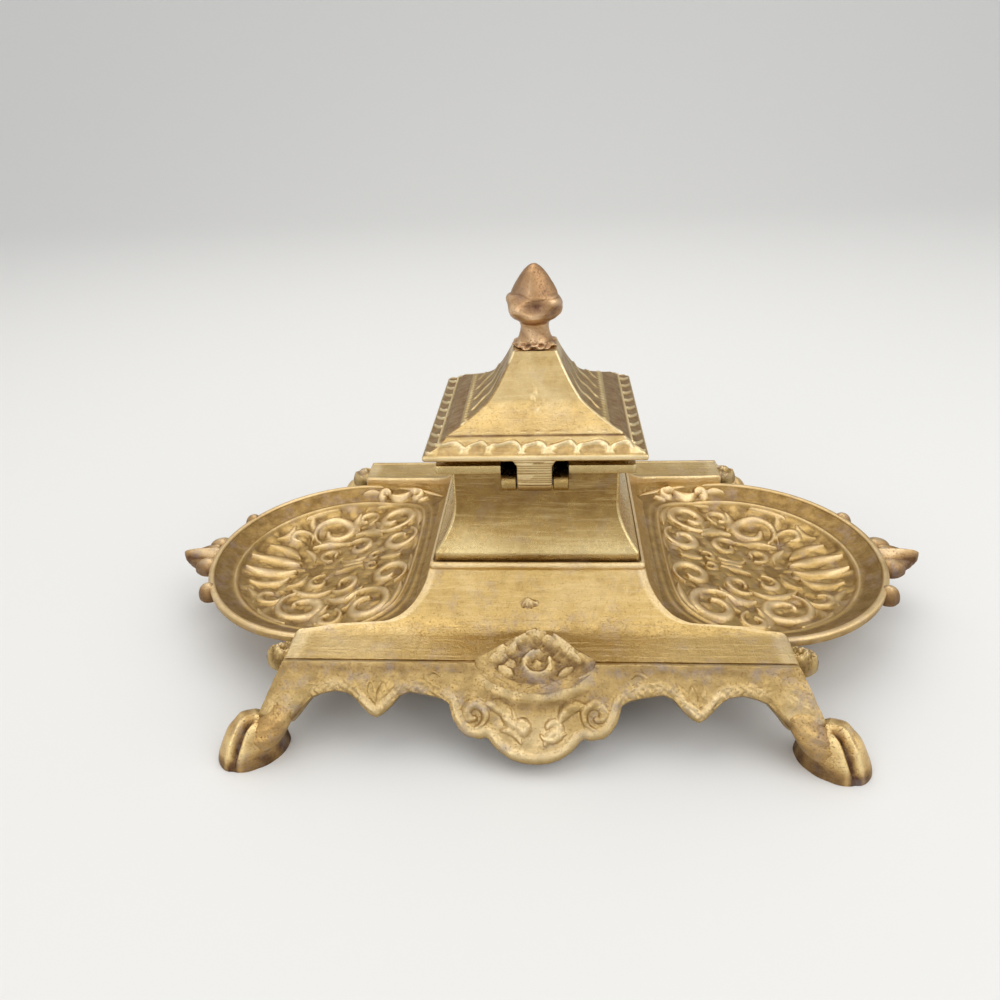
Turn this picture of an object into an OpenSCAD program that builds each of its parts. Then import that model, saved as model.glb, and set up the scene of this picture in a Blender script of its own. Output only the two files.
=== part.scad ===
// Desk inkstand in cast brass: a saddle-shaped stand with two round trays on
// hoofed feet, and a square hinged well box with a glass ink pot in the middle.
// Millimetres, +Z up, origin on the desk under the middle of the stand.
// The hinge side of the lid is the front, at -Y.

/* [Saddle and strips] */
// Length of the flat strips along the front and back edges
strip_l = 158; // [152:1:164]
// How far the outer edge of a strip lies beyond the side of the trays
strip_out = 13.6; // [12:0.1:16]
// Height of the strips above the desk
strip_z = 27; // [26:0.5:30]
// Thickness of the strips
strip_t = 5.5; // [4.5:0.5:6]
// Width of a strip, from its outer edge to the trays
strip_w = 18.3; // [16:0.1:19]
// Width of the level part of a strip, before the sweep starts
level_w = 11; // [8:0.5:14]
// Height of the top of the sweep above the desk
sweep_z = 39.6; // [37:0.2:42]
// How hollow the sweep is, 1 is straight
sweep_power = 1.8; // [1.2:0.1:2.6]
// Width of the square ledge that the well box stands on
ledge_w = 72; // [71:0.5:76]
// Height of the ledge above the sweep
ledge_h = 2; // [1:0.2:3]
// Thickness of the casting under the well box
plinth_t = 4; // [3:0.5:5]
// Thickness of the casting under the sweep
saddle_t = 3.2; // [2.6:0.2:4]

/* [Trays] */
// Distance from the middle of the stand to the middle of a tray
tray_x = 73.8; // [72:0.2:78]
// Radius over the rim of a tray
tray_r = 53.2; // [51:0.2:55]
// Height of the tray rim above the desk
rim_z = 23.2; // [22:0.2:25]
// Width of the flat top of the rim
rim_w = 2.4; // [2:0.2:3.4]
// Height of the tray floor above the desk
floor_z = 14; // [12:0.5:16]
// How late the floor turns up to the rim, 2 is an even bowl
bowl_power = 4; // [2.4:0.2:6]
// Thickness of the tray floor
floor_t = 2.6; // [2:0.2:4]
// Thickness of the wall beside the well box
flank_t = 3.4; // [2.6:0.2:5]
// How far the foot of that wall runs out over the tray
flank_run = 12; // [8:0.5:14]
// Height of the foot of the wall above the tray floor
ramp_h = 9; // [6:0.5:11]
// How far the floor slopes down from there
ramp_run = 36; // [28:1:40]

/* [Rim ornaments] */
// Length of the leaf at the end of each tray, beyond the rim
leaf_l = 14.8; // [12:0.2:17]
// Width over the two lobes of the leaf
leaf_w = 21; // [18:0.5:24]
// Radius of the balls beside the leaf
ball_r = 3.6; // [3:0.2:4.5]
// Angle of the balls from the leaf, round the rim
ball_a = 27.5; // [22:0.5:35]
// Radius of the scroll knobs at the strip ends
knob_r = 4.4; // [3.6:0.2:5]
// How far the middle of a scroll knob stands beyond the strip end
knob_out = 2.8; // [2:0.2:3.4]
// How far the knob lies in from the strip's outer edge
knob_in = 5.6; // [5.2:0.2:8]

/* [Leg rails] */
// Thickness of the flange that is screwed under a strip
flange_t = 3; // [2.4:0.2:4]
// Width of that flange
flange_w = 12; // [11:0.2:13]
// Width of the shoulder along the top of the apron
shoulder_w = 1.8; // [1.4:0.2:2.6]
// Angle of the apron from upright
apron_a = 39.7; // [34:0.1:44]
// Thickness of the apron
apron_t = 2.8; // [2:0.2:3.6]
// Depth of the apron band along its slope
band_h = 9.2; // [8:0.2:11]
// Reach of the middle shell down the slope
shell_h = 28.6; // [26:0.2:30]
// Radius of the middle lobe of the shell
shell_r = 13.4; // [11:0.2:15]
// Radius of the side lobes of the shell
lobe_r = 7.2; // [6:0.2:9]
// Distance of the side lobes from the middle
lobe_x = 19.4; // [17:0.2:22]
// Reach of the side lobes down the slope
lobe_h = 17; // [15:0.2:20]
// Distance of the drops from the middle
drop_x = 48.5; // [45:0.5:52]
// Radius of the drops
drop_r = 8; // [6.5:0.5:9]
// Reach of the drops down the slope
drop_h = 16; // [14:0.5:18]
// Distance of the arch beside each leg from the end of the apron
arch_in = 15.5; // [13:0.5:18]
// Radius of that arch
arch_r = 9; // [7.5:0.5:10]

/* [Cartouche] */
// Half width of the diamond over each apron
cart_w = 16; // [13:0.5:18]
// Distance that it cuts back into the strip
cart_in = 8.8; // [7:0.2:10]
// Distance from the crease down to its lowest point, in plan
cart_out = 7.6; // [6:0.2:9]
// Slope of its sunk face
cart_a = 28; // [22:1:34]
// Width of the ridges that frame it
ridge_w = 3; // [2.2:0.1:4]
// Height of the ridges above the strip
ridge_h = 0.8; // [0.4:0.1:1.4]
// Radius of the round boss in it
rosette_r = 5.2; // [4:0.2:6]
// Gap between the diamond and the notch that it fits
cart_gap = 0.3; // [0.2:0.1:0.5]

/* [Legs and hooves] */
// Thickness of the flat legs
leg_t = 5; // [4:0.2:6]
// Width of a leg at the ankle
ankle_w = 10; // [8:0.5:12]
// How far the ankle stands beyond the end of the apron
ankle_out = 0.8; // [0:0.2:2]
// Reach of the leg down the slope
ankle_h = 21; // [19:0.5:22]
// Distance of the heel beyond the ankle, along the stand
hoof_side = 6.6; // [5.6:0.2:7.4]
// Distance of the heel beyond the strip, across the stand
hoof_out = 9.2; // [8:0.2:10.4]
// Direction that a hoof points, from the length of the stand
hoof_a = 58; // [50:1:66]
// Distance from the heel to the toes
hoof_l = 9.4; // [8:0.2:11]
// Radius of the heel of each half of a hoof
heel_r = 5.2; // [4.4:0.2:6]
// Radius of each toe
toe_r = 4.4; // [3.8:0.2:5]
// Half the distance between the two halves of a hoof
cleft = 4.4; // [3.8:0.2:5]
// Height of the heel
heel_z = 15; // [14:0.2:16]
// Height of the toes
toe_z = 7.4; // [6:0.2:9]
// Radius of the groove between the halves
groove_r = 1.7; // [1.2:0.1:2.4]

/* [Rail screws] */
// Diameter of the rail screws
screw_d = 4; // [3:0.5:4.5]
// Diameter of their heads
screw_head_d = 7.6; // [6.5:0.2:9]
// Height of their heads
screw_head_h = 2.6; // [2:0.2:3.4]
// Distances of the screws from the middle of a rail
screw_x_in = 33; // [30:1:38]
// Distance of the outer screws from the middle of a rail
screw_x_out = 66; // [58:1:70]
// Metal left above the tip of a screw
screw_skin = 1.2; // [0.8:0.1:1.6]

/* [Well box] */
// Width of the foot of the box
foot_w = 68; // [64:0.5:70]
// Height of the upright band at the foot
foot_h = 5.2; // [4:0.2:7]
// Width of the box under its flange
neck_w = 54.6; // [53:0.2:57]
// Height of the box from foot to flange top
box_h = 34.4; // [32:0.2:40]
// Height of the hollow flare above the foot band
flare_h = 14; // [11:0.5:17]
// How hollow the flare is
flare_power = 2.1; // [1.5:0.1:3]
// Width of the flange round the top
flange_box_w = 63.6; // [62.4:0.2:66]
// Thickness of that flange
flange_box_t = 2.7; // [2:0.1:3.4]
// Wall left round the cavity, measured at the neck
box_wall = 2.2; // [1.8:0.1:2.6]
// Thickness of the box floor
box_floor = 4; // [3.4:0.2:5]
// Height of the inner rim that the lid closes on
lip_h = 2.7; // [2:0.1:3.4]
// Thickness of that inner rim
lip_t = 3.4; // [2.6:0.2:4]

/* [Hinge] */
// Distance of the pin from the face of the box
pin_out = 4.3; // [4.1:0.1:5]
// Distance of the pin below the lid
pin_drop = 8.4; // [8:0.2:9.4]
// Diameter of the pin
pin_d = 2.6; // [2:0.1:3]
// Radius of the knuckles round the pin
knuckle_r = 3.2; // [2.6:0.1:3.4]
// Depth of the heel below the pin that stops the open lid
heel_drop = 3.6; // [3:0.1:3.8]
// Width of the tongue on the lid
tongue_w = 11; // [9:0.2:12]
// Width that the tongue flares to at the lid
tongue_flare = 1.8; // [1:0.1:2.2]
// Width of the notch in the flange
notch_w = 21.6; // [20.4:0.2:24]
// Width of each lug on the box
lug_w = 4.4; // [3.4:0.1:4.6]
// Gap on each side of the tongue
side_gap = 0.2; // [0.1:0.05:0.3]

/* [Lid] */
// Width of the lid over its border
lid_w = 70; // [67:0.5:73]
// Height of the upright edge of the lid
edge_h = 1.6; // [1.2:0.1:2.4]
// Width of the sloping border
border_w = 7; // [6:0.2:8]
// Rise of the sloping border
border_h = 3.8; // [3:0.1:4.6]
// Width of the small platform under the finial
crown_w = 14.4; // [13.6:0.2:18]
// Height of the roof from its border to the platform
roof_h = 20.6; // [17:0.2:24]
// How hollow the roof is
roof_power = 2.35; // [1.6:0.05:2.6]
// Sideways thickness of the roof
roof_side_t = 1.8; // [1.4:0.1:2.2]
// Upright thickness of the roof
roof_t = 2.4; // [2:0.1:3]
// How far the lid reaches in over the inner rim
lid_bear = 2; // [1.4:0.1:2.4]

/* [Finial] */
// Radius of the collar
collar_r = 6.8; // [6:0.1:7]
// Height of the collar
collar_h = 3.2; // [2.4:0.1:4]
// Radius of the neck
neck_r = 4.2; // [3.4:0.1:4.8]
// Height of the neck
neck_h = 5.6; // [4:0.1:7]
// Largest radius of the bud
bud_r = 9; // [7.6:0.1:10]
// Height of the bud below its cusp
bud_h = 8; // [6:0.1:9]
// Height of the pointed tip above the cusp
tip_h = 9.5; // [8:0.1:11]

/* [Small fasteners] */
// Diameter of the finial stud
stud_d = 4; // [3:0.5:4.5]
// Length of the stud below the finial
stud_l = 9.4; // [9:0.2:11]
// Diameter of the screw that holds the well box
bolt_d = 5; // [4:0.5:6]
// Diameter of its flat head
bolt_head_d = 9.6; // [8.4:0.2:10.6]
// Depth of its countersink
bolt_head_h = 2.6; // [2.2:0.1:3]
// Width and depth of its slot
slot_w = 1.2; // [0.8:0.1:1.6]
// Length of the screw beyond its nut
bolt_tail = 1.6; // [1:0.2:3]
// Thickness of the washers
washer_t = 1.2; // [0.8:0.1:1.6]
// Outer diameter of the washer under the well box
washer_d = 13; // [12:0.5:16]
// Outer diameter of the washer in the lid
lid_washer_d = 8; // [7.6:0.2:8.6]
// Width across the corners of the well box nut
nut_d = 9.2; // [8.8:0.2:11]
// Height of the well box nut
nut_h = 4; // [3:0.2:5]
// Width across the corners of the finial nut
lid_nut_d = 7.4; // [7:0.2:8]
// Height of the finial nut
lid_nut_h = 3.2; // [2.4:0.2:4]

/* [Ink pot] */
// Diameter of the pot
pot_d = 48; // [44:0.5:49]
// Height of the pot
pot_h = 29; // [25:0.5:30]
// Thickness of the glass wall
pot_wall = 3.4; // [2.6:0.2:4.4]
// Thickness of the glass floor
pot_floor = 4; // [3:0.2:6]
// Diameter of the mouth
mouth_d = 27; // [22:0.5:32]
// Height of the neck ring
mouth_h = 4.4; // [3:0.2:6]
// Thickness of the glass at the neck
mouth_t = 2.6; // [2:0.2:3.4]

/* [Fits] */
// Gap round parts that turn or slide, on the radius
run_gap = 0.05; // [0.03:0.01:0.08]
// Gap round parts that are fixed, on the radius
fixed_gap = 0.02; // [0.02:0.01:0.04]
// Gap left where a part is seated on another
seat_gap = 0.3; // [0.2:0.05:0.4]

/* [Hidden] */
$fn = 64;

// Castings and metals as the photo shows them
brass = [0.78, 0.62, 0.30];
copper_brass = [0.62, 0.40, 0.24];
steel = [0.55, 0.52, 0.46];
glass = [0.75, 0.85, 0.84];

// Places and levels of the stand
strip_y = tray_r + strip_out;
arch_x = strip_l / 2 - arch_in;
ankle_x = strip_l / 2 + ankle_out;
hoof_x = ankle_x + hoof_side;
hoof_y = strip_y + hoof_out;
strip_under = strip_z - strip_t;
strip_in = strip_y - strip_w;
ledge_z = sweep_z + ledge_h;
plinth_under = ledge_z - plinth_t;
tray_under = floor_z - floor_t;
flank_x = ledge_w / 2;
ramp_end = flank_x + flank_run + ramp_run;
steps = 12;

// Levels of the well box and the lid
neck_z = ledge_z + foot_h + flare_h;
flange_top = ledge_z + box_h;
lip_top = flange_top + lip_h;
cavity_w = neck_w - 2 * box_wall;
cavity_z = ledge_z + box_floor;
lip_w = cavity_w + 2 * lip_t;
lid_z = lip_top + seat_gap;
border_z = lid_z + edge_h + border_h;
crown_z = border_z + roof_h;
roof_w = lid_w - 2 * border_w;
hinge_y = -(neck_w / 2 + pin_out);
hinge_z = lid_z - pin_drop;
far = 300;
above = 75;

// Top of the sweep at a distance y from the middle, flat over the strips
sweep_start = ledge_w / 2 + 0.6;
sweep_end = strip_y - level_w;
function sweep_top(y) = let (s = min(1, max(0, (y - sweep_start) / (sweep_end - sweep_start))))
    strip_z + (sweep_z - strip_z) * pow(1 - s, sweep_power);
function sweep_line(dy, dz) = [for (i = [0 : steps])
    let (y = sweep_start + (sweep_end - sweep_start) * i / steps) [y - dy, sweep_top(y) - dz]];
function flip(points) = [for (i = [len(points) - 1 : -1 : 0]) [-points[i][0], points[i][1]]];

// An outline in Y and Z, carried along X
module along_x(length) {
    rotate([90, 0, 90]) translate([0, 0, -length / 2]) linear_extrude(length) children();
}

// An outline in X and Z, carried along Y
module along_y(length) {
    rotate([90, 0, 0]) translate([0, 0, -length / 2]) linear_extrude(length) children();
}

// An upright round bar or hole between two heights
module rod(low, high, r) {
    translate([0, 0, low]) cylinder(h = high - low, r = r);
}

// A square body whose four sides follow one outline
module square_turned(length) {
    intersection() {
        along_x(length) children();
        along_y(length) children();
    }
}

module mirrored_x() {
    children();
    mirror([1, 0, 0]) children();
}

module mirrored_y() {
    children();
    mirror([0, 1, 0]) children();
}

// Outline of the whole saddle, down to the underside of the trays
module saddle_outline() {
    half = concat(sweep_line(0, 0), [[strip_y, strip_z], [strip_y, tray_under]]);
    polygon(concat(flip(half), half));
}

// Outline of the space under the saddle and the strips
module saddle_hollow_outline() {
    inner = saddle_t * 0.7;
    half = concat([[sweep_start - inner, plinth_under]],
        [for (p = sweep_line(inner, saddle_t)) if (p[1] < plinth_under && p[1] > strip_under) p],
        [[strip_in, strip_under], [strip_y + 1, strip_under], [strip_y + 1, -1]]);
    polygon(concat(flip(half), half));
}

// The solid inside the outer skin of a tray, up to a given height
module dish_body(top) {
    translate([tray_x, 0, 0]) rotate_extrude($fn = 120)
        polygon(concat([[0, top]], bowl_line(tray_r, tray_under, rim_z - rim_w),
            [[tray_r, top - rim_w / 3], [tray_r - rim_w / 3, top]]));
}

// Line from the middle of a bowl up to its edge
function bowl_line(r, low, high) = [for (i = [0 : steps])
    [r * i / steps, low + (high - low) * pow(i / steps, bowl_power)]];

// The space in a tray above its floor
module dish_space() {
    lip = tray_r - rim_w;
    intersection() {
        translate([tray_x, 0, 0]) rotate_extrude($fn = 120)
            polygon(concat([[0, above]], bowl_line(lip, floor_z, rim_z), [[lip, above]]));
        along_y(far)
            polygon(concat([[flank_x, above]], flank_line(flank_x, ledge_z, floor_z + ramp_h),
                [[ramp_end, floor_z], [ramp_end, tray_under - 1], [far, tray_under - 1], [far, above]]));
    }
}

// Hollow wall beside the well box, from a height down to the head of the ramp
function flank_line(x, high, low) = [for (i = [0 : steps]) let (a = 90 * i / steps)
    [x + flank_run * (1 - cos(a)), high - (high - low) * sin(a)]];

// The space under that wall and the ramp
module under_ramp() {
    x = flank_x - flank_t;
    intersection() {
        along_x(far) saddle_hollow_outline();
        along_y(far)
            polygon(concat([[x, -1]], flank_line(x, plinth_under, floor_z + ramp_h - saddle_t),
                [[ramp_end, floor_z - saddle_t], [ramp_end, -1]]));
    }
}

// Leaf and balls at the outer end of a tray rim
module rim_ornament() {
    base = tray_x + tray_r;
    lobe = leaf_w / 4;
    hull() {
        translate([base + leaf_l - 1.4, 0, rim_z - 1.4]) sphere(1.4, $fn = 24);
        mirrored_y() translate([base + leaf_l * 0.35, lobe, rim_z - lobe * 0.7])
            sphere(lobe * 0.7, $fn = 24);
        translate([base - 0.6, 0, rim_z - 3]) sphere(2.6, $fn = 24);
    }
    mirrored_y() translate([base + lobe * 0.5, lobe, rim_z - 1.4]) sphere(lobe, $fn = 32);
    for (side = [-1, 1]) translate([tray_x, 0, 0]) rotate([0, 0, side * ball_a])
        translate([tray_r + ball_r * 0.7, 0, rim_z - ball_r * 0.5]) sphere(ball_r, $fn = 32);
}

// Web and scroll knob where a strip ends at a tray
module strip_end() {
    out = strip_l / 2;
    translate([0, 0, strip_under]) linear_extrude(rim_z - strip_under)
        polygon([[out - 1, strip_in], [out - 1, strip_y - knob_in],
                 [out + knob_out, strip_y - knob_in - knob_r / 2],
                 [tray_x + tray_r * cos(72), tray_r * sin(72)], [tray_x + tray_r * cos(76), strip_in]]);
    translate([out + knob_out, strip_y - knob_in, strip_z - 1]) sphere(knob_r, $fn = 40);
}

// Notch in a strip for the diamond of the rail below it
module strip_notch() {
    half = cart_w + 2 * cart_gap;
    translate([0, 0, tray_under]) linear_extrude(above)
        polygon([[-half, -strip_y - 1], [-half, -strip_y], [0, -strip_y + cart_in + cart_gap],
                 [half, -strip_y], [half, -strip_y - 1]]);
}

screw_y = strip_y - flange_w / 2;
screw_tip = strip_z - screw_skin;
screw_places = [for (s = [-1, 1], x = [screw_x_in, screw_x_out]) s * x];

module at_rail_screws() {
    for (x = screw_places) translate([x, -screw_y, 0]) children();
}

module tray_plate() {
    color(brass) difference() {
        union() {
            difference() {
                union() {
                    along_x(strip_l) saddle_outline();
                    mirrored_x() dish_body(rim_z);
                    mirrored_x() mirrored_y() strip_end();
                }
                mirrored_x() dish_space();
                mirrored_x() under_ramp();
                difference() {
                    along_x(far) saddle_hollow_outline();
                    mirrored_x() intersection() {
                        dish_body(above);
                        translate([flank_x - flank_t, -far / 2, 0]) cube(far);
                    }
                }
            }
            mirrored_y() translate([-strip_l / 2, strip_in, strip_under]) cube([strip_l, strip_w, strip_t]);
            translate([-ledge_w / 2, -ledge_w / 2, sweep_z - 1]) cube([ledge_w, ledge_w, ledge_h + 1]);
            mirrored_x() rim_ornament();
        }
        mirrored_y() strip_notch();
        mirrored_y() at_rail_screws()
            rod(strip_under - 1, screw_tip + fixed_gap, screw_d / 2 + fixed_gap);
        rod(plinth_under - 1, ledge_z + 1, bolt_d / 2 + fixed_gap);
    }
}

// Outline of the apron: the crease is y = 0 and the slope runs to -y
module apron_outline() {
    mirrored_x() difference() {
        union() {
            translate([0, -band_h]) square([strip_l / 2, band_h]);
            translate([drop_x, -drop_h + drop_r]) circle(drop_r);
            translate([drop_x - drop_r, -drop_h + drop_r]) square([2 * drop_r, drop_h - drop_r]);
            translate([lobe_x, -lobe_h + lobe_r]) circle(lobe_r);
            translate([0, -lobe_h + lobe_r]) square([lobe_x + lobe_r, lobe_h - lobe_r]);
            translate([0, -shell_h + shell_r]) circle(shell_r);
        }
        arch_outline();
    }
}

module arch_outline() {
    translate([arch_x, -band_h - arch_r]) circle(arch_r);
}

// Outline of a flat leg, from the end of the apron down to the ankle
module leg_outline() {
    side = ankle_w / 2;
    difference() {
        polygon([[arch_x + arch_r / 2, 0], [strip_l / 2, 0], [ankle_x + side, side - ankle_h],
                 [ankle_x + side, -ankle_h], [ankle_x - side, -ankle_h],
                 [arch_x, -band_h - arch_r / 2], [arch_x, -band_h]]);
        arch_outline();
    }
}

// Puts a flat shape on the outer face of the apron slope
module on_slope(out) {
    translate([0, -strip_y - shoulder_w, strip_z]) rotate([90 - apron_a, 0, 0])
        translate([0, 0, out]) children();
}

// Bar that holds the apron to the strip: flange below it, shoulder in front of it
module rail_bar() {
    top = strip_under;
    low = top - flange_t;
    face = strip_y + seat_gap / 2;
    along_x(strip_l) polygon([[-strip_y + flange_w, low], [-strip_y + flange_w, top], [-face, top],
        [-face, strip_z - 0.6], [-face - 0.5, strip_z], [-strip_y - shoulder_w, strip_z - 0.2],
        [-strip_y - shoulder_w - (strip_z - low) * tan(apron_a), low]]);
}

// Sunk diamond over the apron, with its ridges and boss
module cartouche() {
    low = strip_under - flange_t;
    difference() {
        translate([0, 0, low]) linear_extrude(strip_z - low + 0.6)
            polygon([[-cart_w, -strip_y], [0, -strip_y + cart_in], [cart_w, -strip_y],
                     [cart_w * 0.6, -strip_y - 3], [0, -strip_y - cart_out], [-cart_w * 0.6, -strip_y - 3]]);
        translate([0, -strip_y + cart_in, strip_z - 1]) rotate([cart_a, 0, 0])
            translate([-far / 2, -far / 2, 0]) cube([far, far, far / 2]);
    }
    foot = [cart_w, -strip_y - 1];
    peak = [0, -strip_y + cart_in];
    inset = ridge_w * cart_w / cart_in / 1.2;
    translate([0, 0, low]) linear_extrude(strip_z - low + ridge_h)
        polygon([[-foot[0], foot[1]], [-foot[0], foot[1] + 1], peak, [foot[0], foot[1] + 1], foot,
                 [foot[0] - inset, foot[1]], [0, peak[1] - ridge_w], [inset - foot[0], foot[1]]]);
    translate([0, -strip_y - 0.4, strip_z - 1 - (cart_in + 0.4) * tan(cart_a)]) rotate([cart_a, 0, 0])
        translate([0, 0, -1]) cylinder(h = 3, r = rosette_r);
}

// Relief on the shell: raised fan, lip and volutes
module shell_relief() {
    on_slope(-0.5) {
        translate([0, -shell_h + shell_r]) difference() {
            cylinder(h = 1.9, r = shell_r - 0.7);
            translate([0, 0, 1.2]) cylinder(h = 2, r = shell_r - 3);
        }
        mirrored_x() translate([lobe_x, -lobe_h + lobe_r]) cylinder(h = 1.8, r = lobe_r * 0.62);
    }
}

// Cloven hoof, flat underneath, with a groove between its two halves
module hoof() {
    fall = atan((heel_z - toe_z) / hoof_l);
    translate([hoof_x, -hoof_y, 0]) rotate([0, 0, -hoof_a]) difference() {
        hull() for (s = [-1, 1]) {
            translate([0, s * cleft, heel_z - heel_r]) sphere(heel_r, $fn = 28);
            translate([0, s * cleft, 0]) cylinder(h = 1, r = heel_r - 0.4, $fn = 28);
            translate([hoof_l, s * cleft * 0.9, toe_z - toe_r]) sphere(toe_r, $fn = 28);
            translate([hoof_l, s * cleft * 0.9, 0]) cylinder(h = toe_z - toe_r, r = toe_r, $fn = 28);
        }
        translate([-heel_r, 0, heel_z + heel_r * tan(fall) + 0.3]) rotate([0, 90 + fall, 0])
            cylinder(h = 6 * heel_r, r = groove_r);
        translate([-far / 2, -far / 2, -far]) cube(far);
    }
}

module leg_rail() {
    difference() {
        union() {
            rail_bar();
            difference() {
                union() {
                    on_slope(-apron_t) linear_extrude(apron_t) apron_outline();
                    mirrored_x() on_slope(-leg_t) linear_extrude(leg_t) leg_outline();
                }
                translate([-far / 2, -strip_y - seat_gap / 2, strip_under - flange_t / 2]) cube(far);
            }
            shell_relief();
            cartouche();
            mirrored_x() hoof();
        }
        at_rail_screws()
            rod(strip_under - flange_t - 1, strip_under + 1, screw_d / 2 + run_gap);
    }
}

module rail_screws() {
    at_rail_screws() {
        rod(strip_under - flange_t - screw_head_h, strip_under - flange_t, screw_head_d / 2);
        rod(strip_under - flange_t - 1, screw_tip, screw_d / 2);
    }
}

module front_leg_rail() {
    color(brass) leg_rail();
}

module rear_leg_rail() {
    color(brass) mirror([0, 1, 0]) leg_rail();
}

module front_rail_screws() {
    color(steel) rail_screws();
}

module rear_rail_screws() {
    color(steel) mirror([0, 1, 0]) rail_screws();
}

// Outline of the box sides from the foot to the flange
module box_outline() {
    flare_z = ledge_z + foot_h;
    half = concat([[neck_w / 2, flange_top]],
        [for (i = [0 : steps]) let (s = i / steps)
            [neck_w / 2 + (foot_w - neck_w) / 2 * pow(s, flare_power), neck_z - flare_h * s]],
        [[foot_w / 2 + 0.3, flare_z - 0.6], [foot_w / 2, ledge_z]]);
    polygon(concat(flip(half), half));
}

module square_block(width, low, high) {
    translate([-width / 2, -width / 2, low]) cube([width, width, high - low]);
}

// Two lugs that carry the pin in front of the box
module hinge_lugs() {
    difference() {
        union() {
            on_pin_line(tongue_w + 2 * (lug_w + side_gap), knuckle_r);
            translate([-tongue_w / 2 - lug_w - side_gap, hinge_y, hinge_z - knuckle_r])
                cube([tongue_w + 2 * (lug_w + side_gap), pin_out + 1, 2 * knuckle_r]);
        }
        translate([-tongue_w / 2 - side_gap, -far - neck_w / 2, 0])
            cube([tongue_w + 2 * side_gap, far, far]);
    }
}

// A round bar or hole on the line of the hinge pin
module on_pin_line(length, r) {
    translate([-length / 2, hinge_y, hinge_z]) rotate([0, 90, 0]) cylinder(h = length, r = r);
}

module well_box() {
    color(brass) difference() {
        union() {
            square_turned(far) box_outline();
            difference() {
                square_block(flange_box_w, flange_top - flange_box_t, flange_top);
                translate([-notch_w / 2, -flange_box_w / 2 - 1, flange_top - flange_box_t - 1])
                    cube([notch_w, 1 + (flange_box_w - neck_w) / 2, flange_box_t + 2]);
            }
            square_block(lip_w, flange_top - 1, lip_top);
            hinge_lugs();
        }
        square_block(cavity_w, cavity_z, far);
        bolt_head(run_gap, 0.01);
        rod(ledge_z - 1, cavity_z, bolt_d / 2 + run_gap);
        on_pin_line(far, pin_d / 2 + fixed_gap);
    }
}

// Cone of the flat screw head, let into the box floor
module bolt_head(gap, over) {
    r = bolt_d / 2 + gap;
    flare = (bolt_head_d - bolt_d) / 2 / bolt_head_h;
    translate([0, 0, cavity_z - bolt_head_h])
        cylinder(h = bolt_head_h + over, r1 = r, r2 = r + flare * (bolt_head_h + over));
}

// Flat-headed screw through the box floor and the stand
module well_screw() {
    color(steel) difference() {
        union() {
            bolt_head(0, -run_gap);
            rod(plinth_under - washer_t - nut_h - bolt_tail, cavity_z - bolt_head_h, bolt_d / 2);
        }
        translate([-bolt_head_d, -slot_w / 2, cavity_z - slot_w])
            cube([2 * bolt_head_d, slot_w, 2 * slot_w]);
    }
}

module well_washer() {
    color(steel) difference() {
        rod(plinth_under - washer_t, plinth_under, washer_d / 2);
        rod(plinth_under - washer_t - 1, plinth_under + 1, bolt_d / 2 + run_gap);
    }
}

module well_nut() {
    top = plinth_under - washer_t;
    color(steel) difference() {
        translate([0, 0, top - nut_h]) cylinder(h = nut_h, r = nut_d / 2, $fn = 6);
        rod(top - nut_h - 1, top + 1, bolt_d / 2 + fixed_gap);
    }
}

// Loose glass pot that holds the ink
module ink_pot() {
    r = pot_d / 2;
    inner = r - pot_wall;
    mouth = mouth_d / 2;
    neck = mouth + mouth_t;
    body_h = pot_h - mouth_h;
    edge = 2;
    color(glass) translate([0, 0, cavity_z + seat_gap]) rotate_extrude($fn = 96)
        polygon([[0, 0], [r - edge, 0], [r, edge],
                 [r, body_h - edge * 1.5], [r - edge, body_h], [neck, body_h],
                 [neck, pot_h - 0.5], [neck - 0.5, pot_h], [mouth + 0.5, pot_h], [mouth, pot_h - 0.5],
                 [mouth, body_h - pot_wall], [inner, body_h - pot_wall - edge],
                 [inner, pot_floor + edge], [inner - edge, pot_floor], [0, pot_floor]]);
}

module hinge_pin() {
    color(steel) on_pin_line(tongue_w + 2 * (lug_w + side_gap), pin_d / 2);
}

// Roof of the lid, from its platform out to the border
function roof_line(dh, dz) = [for (i = [0 : steps]) let (s = i / steps)
    [crown_w / 2 + (roof_w - crown_w) / 2 * s - dh, border_z + roof_h * pow(1 - s, roof_power) - dz]];

module lid_outline() {
    half = concat(roof_line(0, 0),
        [[lid_w / 2 - 0.4, lid_z + edge_h], [lid_w / 2, lid_z + edge_h * 0.6], [lid_w / 2, lid_z]]);
    polygon(concat(flip(half), half));
}

module lid_hollow_outline() {
    open = lip_w / 2 - lid_bear;
    half = concat([for (p = roof_line(roof_side_t, roof_t)) if (p[0] < open) p],
        [[open, border_z - roof_t], [open, lid_z - 1]]);
    polygon(concat(flip(half), half));
}

// Tongue that hangs from the lid round the pin
module lid_tongue() {
    inner = hinge_y + knuckle_r * 0.75;
    outer = hinge_y - knuckle_r;
    intersection() {
        union() {
            translate([0, (inner + outer) / 2, 0]) along_y(inner - outer)
                polygon(concat([[-tongue_w / 2, hinge_z], [-tongue_w / 2, lid_z - tongue_flare]],
                    [for (i = [0 : steps]) let (a = 90 * i / steps)
                        [-tongue_w / 2 - tongue_flare * (1 - cos(a)), lid_z - tongue_flare * (1 - sin(a))]],
                    [for (i = [steps : -1 : 0]) let (a = 90 * i / steps)
                        [tongue_w / 2 + tongue_flare * (1 - cos(a)), lid_z - tongue_flare * (1 - sin(a))]],
                    [[tongue_w / 2, lid_z - tongue_flare], [tongue_w / 2, hinge_z]]));
            on_pin_line(tongue_w, knuckle_r);
            translate([-tongue_w / 2, outer, hinge_z - heel_drop]) cube([tongue_w, knuckle_r, heel_drop]);
        }
        translate([-far / 2, outer, lid_z - far / 2]) cube([far, far, far / 2 + 0.5]);
    }
}

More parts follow.
